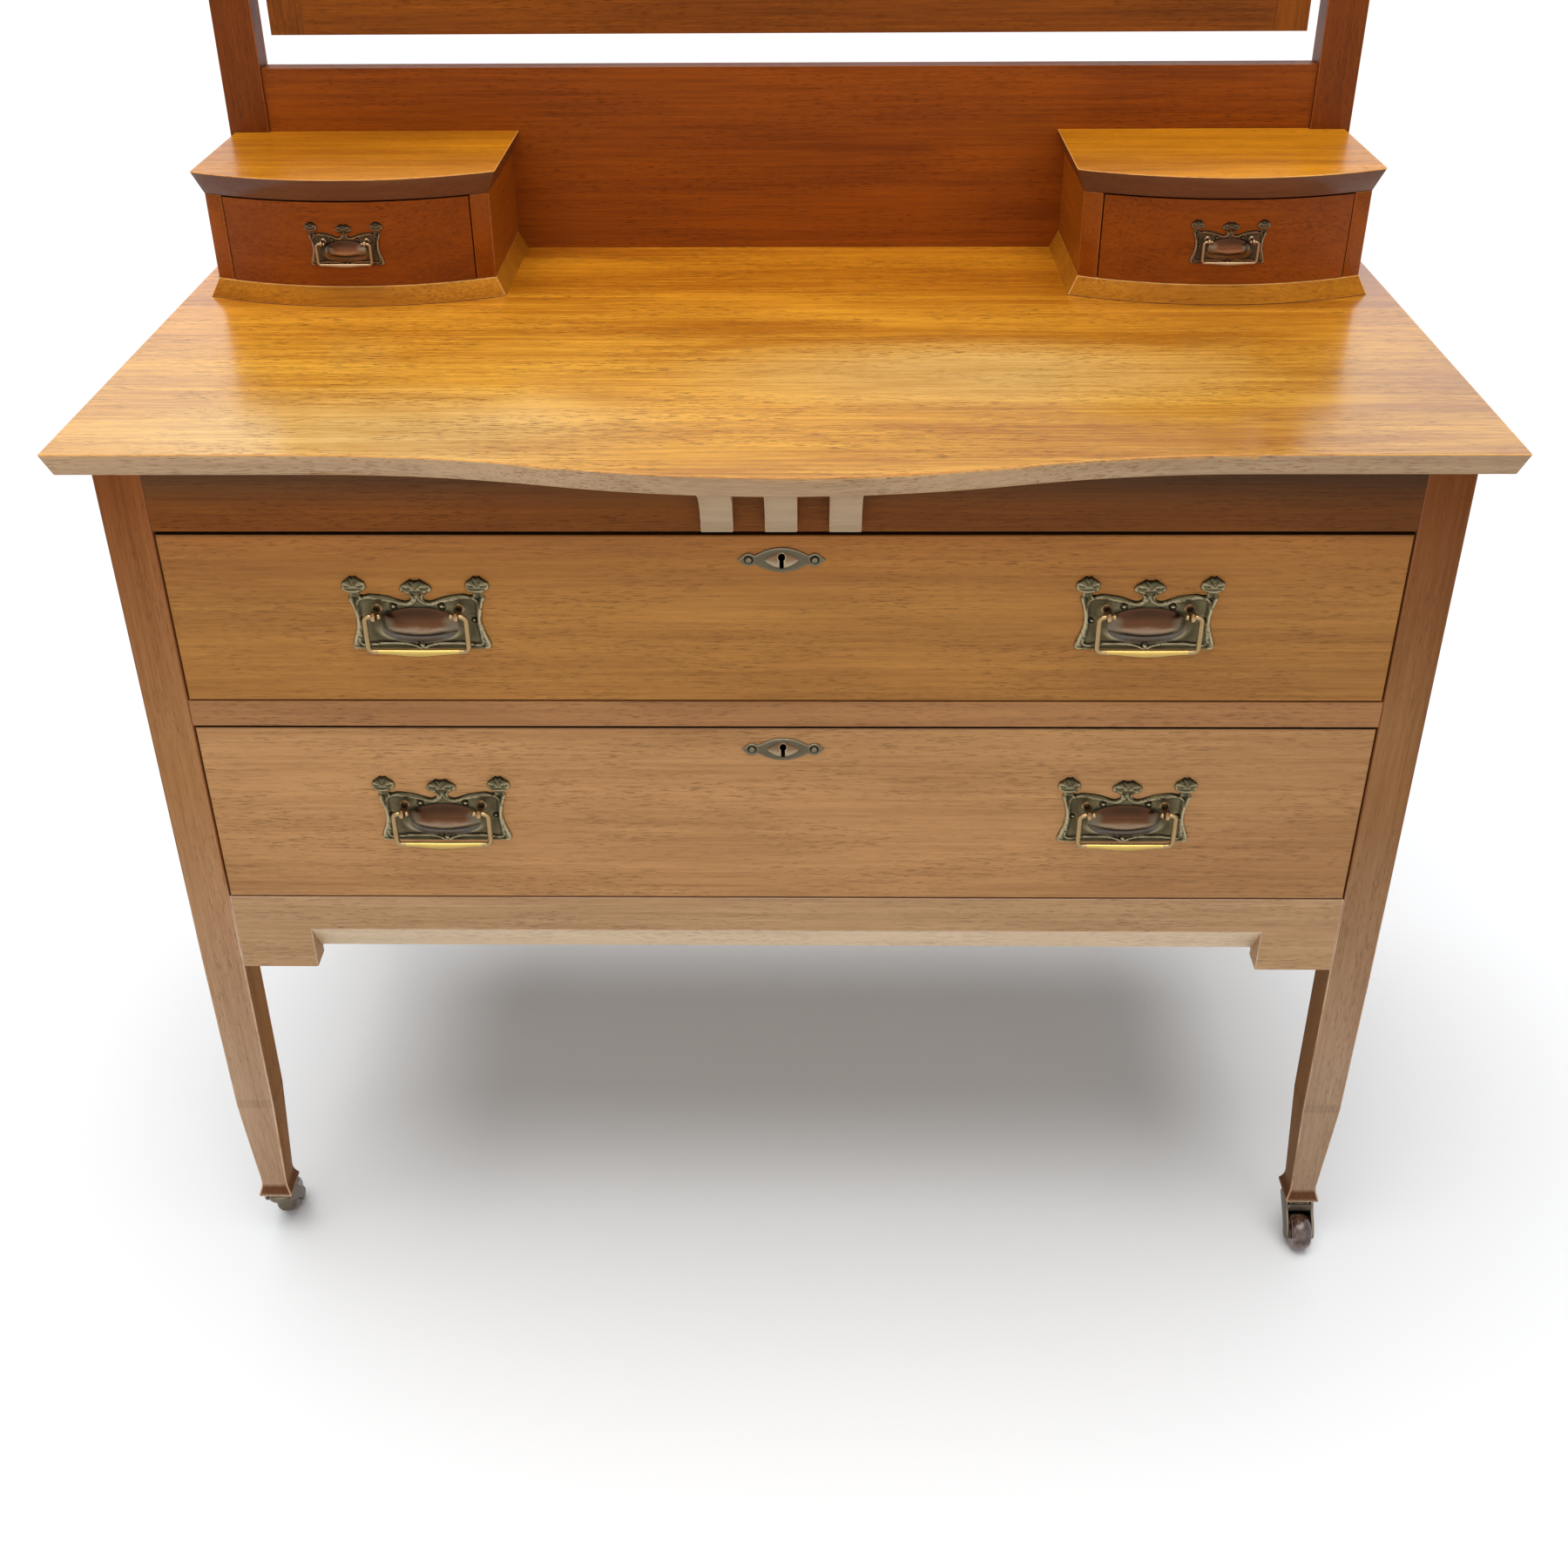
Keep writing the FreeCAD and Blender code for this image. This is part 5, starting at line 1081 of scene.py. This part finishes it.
def seen_directly(tree):
    """1 for rays that show the surroundings themselves, 0 for those that only light a dull surface."""
    path = tree.nodes.new("ShaderNodeLightPath")
    total = path.outputs["Is Camera Ray"]
    for word in ("Is Glossy Ray", "Is Transmission Ray"):
        item = tree.nodes.new("ShaderNodeMath")
        item.operation = "MAXIMUM"
        tree.links.new(total, item.inputs[0])
        tree.links.new(path.outputs[word], item.inputs[1])
        total = item.outputs[0]
    return total


def studio_world(fill):
    """White surroundings that light the chest with a weaker fill."""
    world = bpy.data.worlds.new("studio")
    bpy.context.scene.world = world
    world.use_nodes = True
    tree = world.node_tree
    strength = tree.nodes.new("ShaderNodeMapRange")
    tree.links.new(seen_directly(tree), strength.inputs["Value"])
    strength.inputs["To Min"].default_value = fill
    strength.inputs["To Max"].default_value = 1.0
    background = tree.nodes["Background"]
    background.inputs["Color"].default_value = WHITE
    tree.links.new(strength.outputs["Result"], background.inputs["Strength"])


def studio_floor(lift):
    """A pale floor that keeps shadows and is white where nothing shades it."""
    half = FLOOR_HALF
    corners = [(-half, -half, 0), (half, -half, 0), (half, half, 0), (-half, half, 0)]
    mesh = bpy.data.meshes.new("studio_floor")
    mesh.from_pydata(corners, [], [(0, 1, 2, 3)])
    finish = Finish("floor_white")
    glow = finish.math("MULTIPLY", seen_directly(finish.tree), lift)
    finish.set(Base_Color=FLOOR_COLOUR, Roughness=1.0, Specular_IOR_Level=0.0, Emission_Color=WHITE,
               Emission_Strength=glow)
    mesh.materials.append(finish.material)
    floor = placed("studio_floor", mesh)


def soft_sun(name, toward, strength, angle):
    """A wide soft light from far away, which shines from the given direction."""
    data = bpy.data.lights.new(name, "SUN")
    data.energy = strength
    data.angle = math.radians(angle)
    lamp = placed(name, data)
    lamp.rotation_mode = "QUATERNION"
    lamp.rotation_quaternion = Vector(toward).to_track_quat("Z", "Y")


def photo_camera():
    """The camera that was fitted to the photograph's straight edges."""
    data = bpy.data.cameras.new("photo_camera")
    data.sensor_width = SENSOR
    data.lens = SENSOR * PHOTO_FOCUS / PHOTO_SIDE
    data.shift_y = (PHOTO_CENTRE_Y - PHOTO_SIDE / 2) / PHOTO_SIDE
    camera = placed("photo_camera", data)
    flat = math.cos(CAMERA_PITCH)
    ahead = Vector((math.sin(CAMERA_YAW) * flat, math.cos(CAMERA_YAW) * flat, -math.sin(CAMERA_PITCH)))
    level = Vector((math.cos(CAMERA_YAW), -math.sin(CAMERA_YAW), 0))
    down = ahead.cross(level)
    right = math.cos(CAMERA_ROLL) * level + math.sin(CAMERA_ROLL) * down
    down = -math.sin(CAMERA_ROLL) * level + math.cos(CAMERA_ROLL) * down
    turn = Matrix((right, -down, -ahead)).transposed().to_4x4()
    camera.matrix_world = Matrix.Translation(CAMERA_PLACE) @ turn
    bpy.context.scene.camera = camera


studio_world(WORLD_FILL)
studio_floor(FLOOR_LIFT)
soft_sun("key_light", *KEY_LIGHT)
soft_sun("front_light", *FRONT_LIGHT)
photo_camera()
bpy.context.scene.view_settings.view_transform = "Standard"
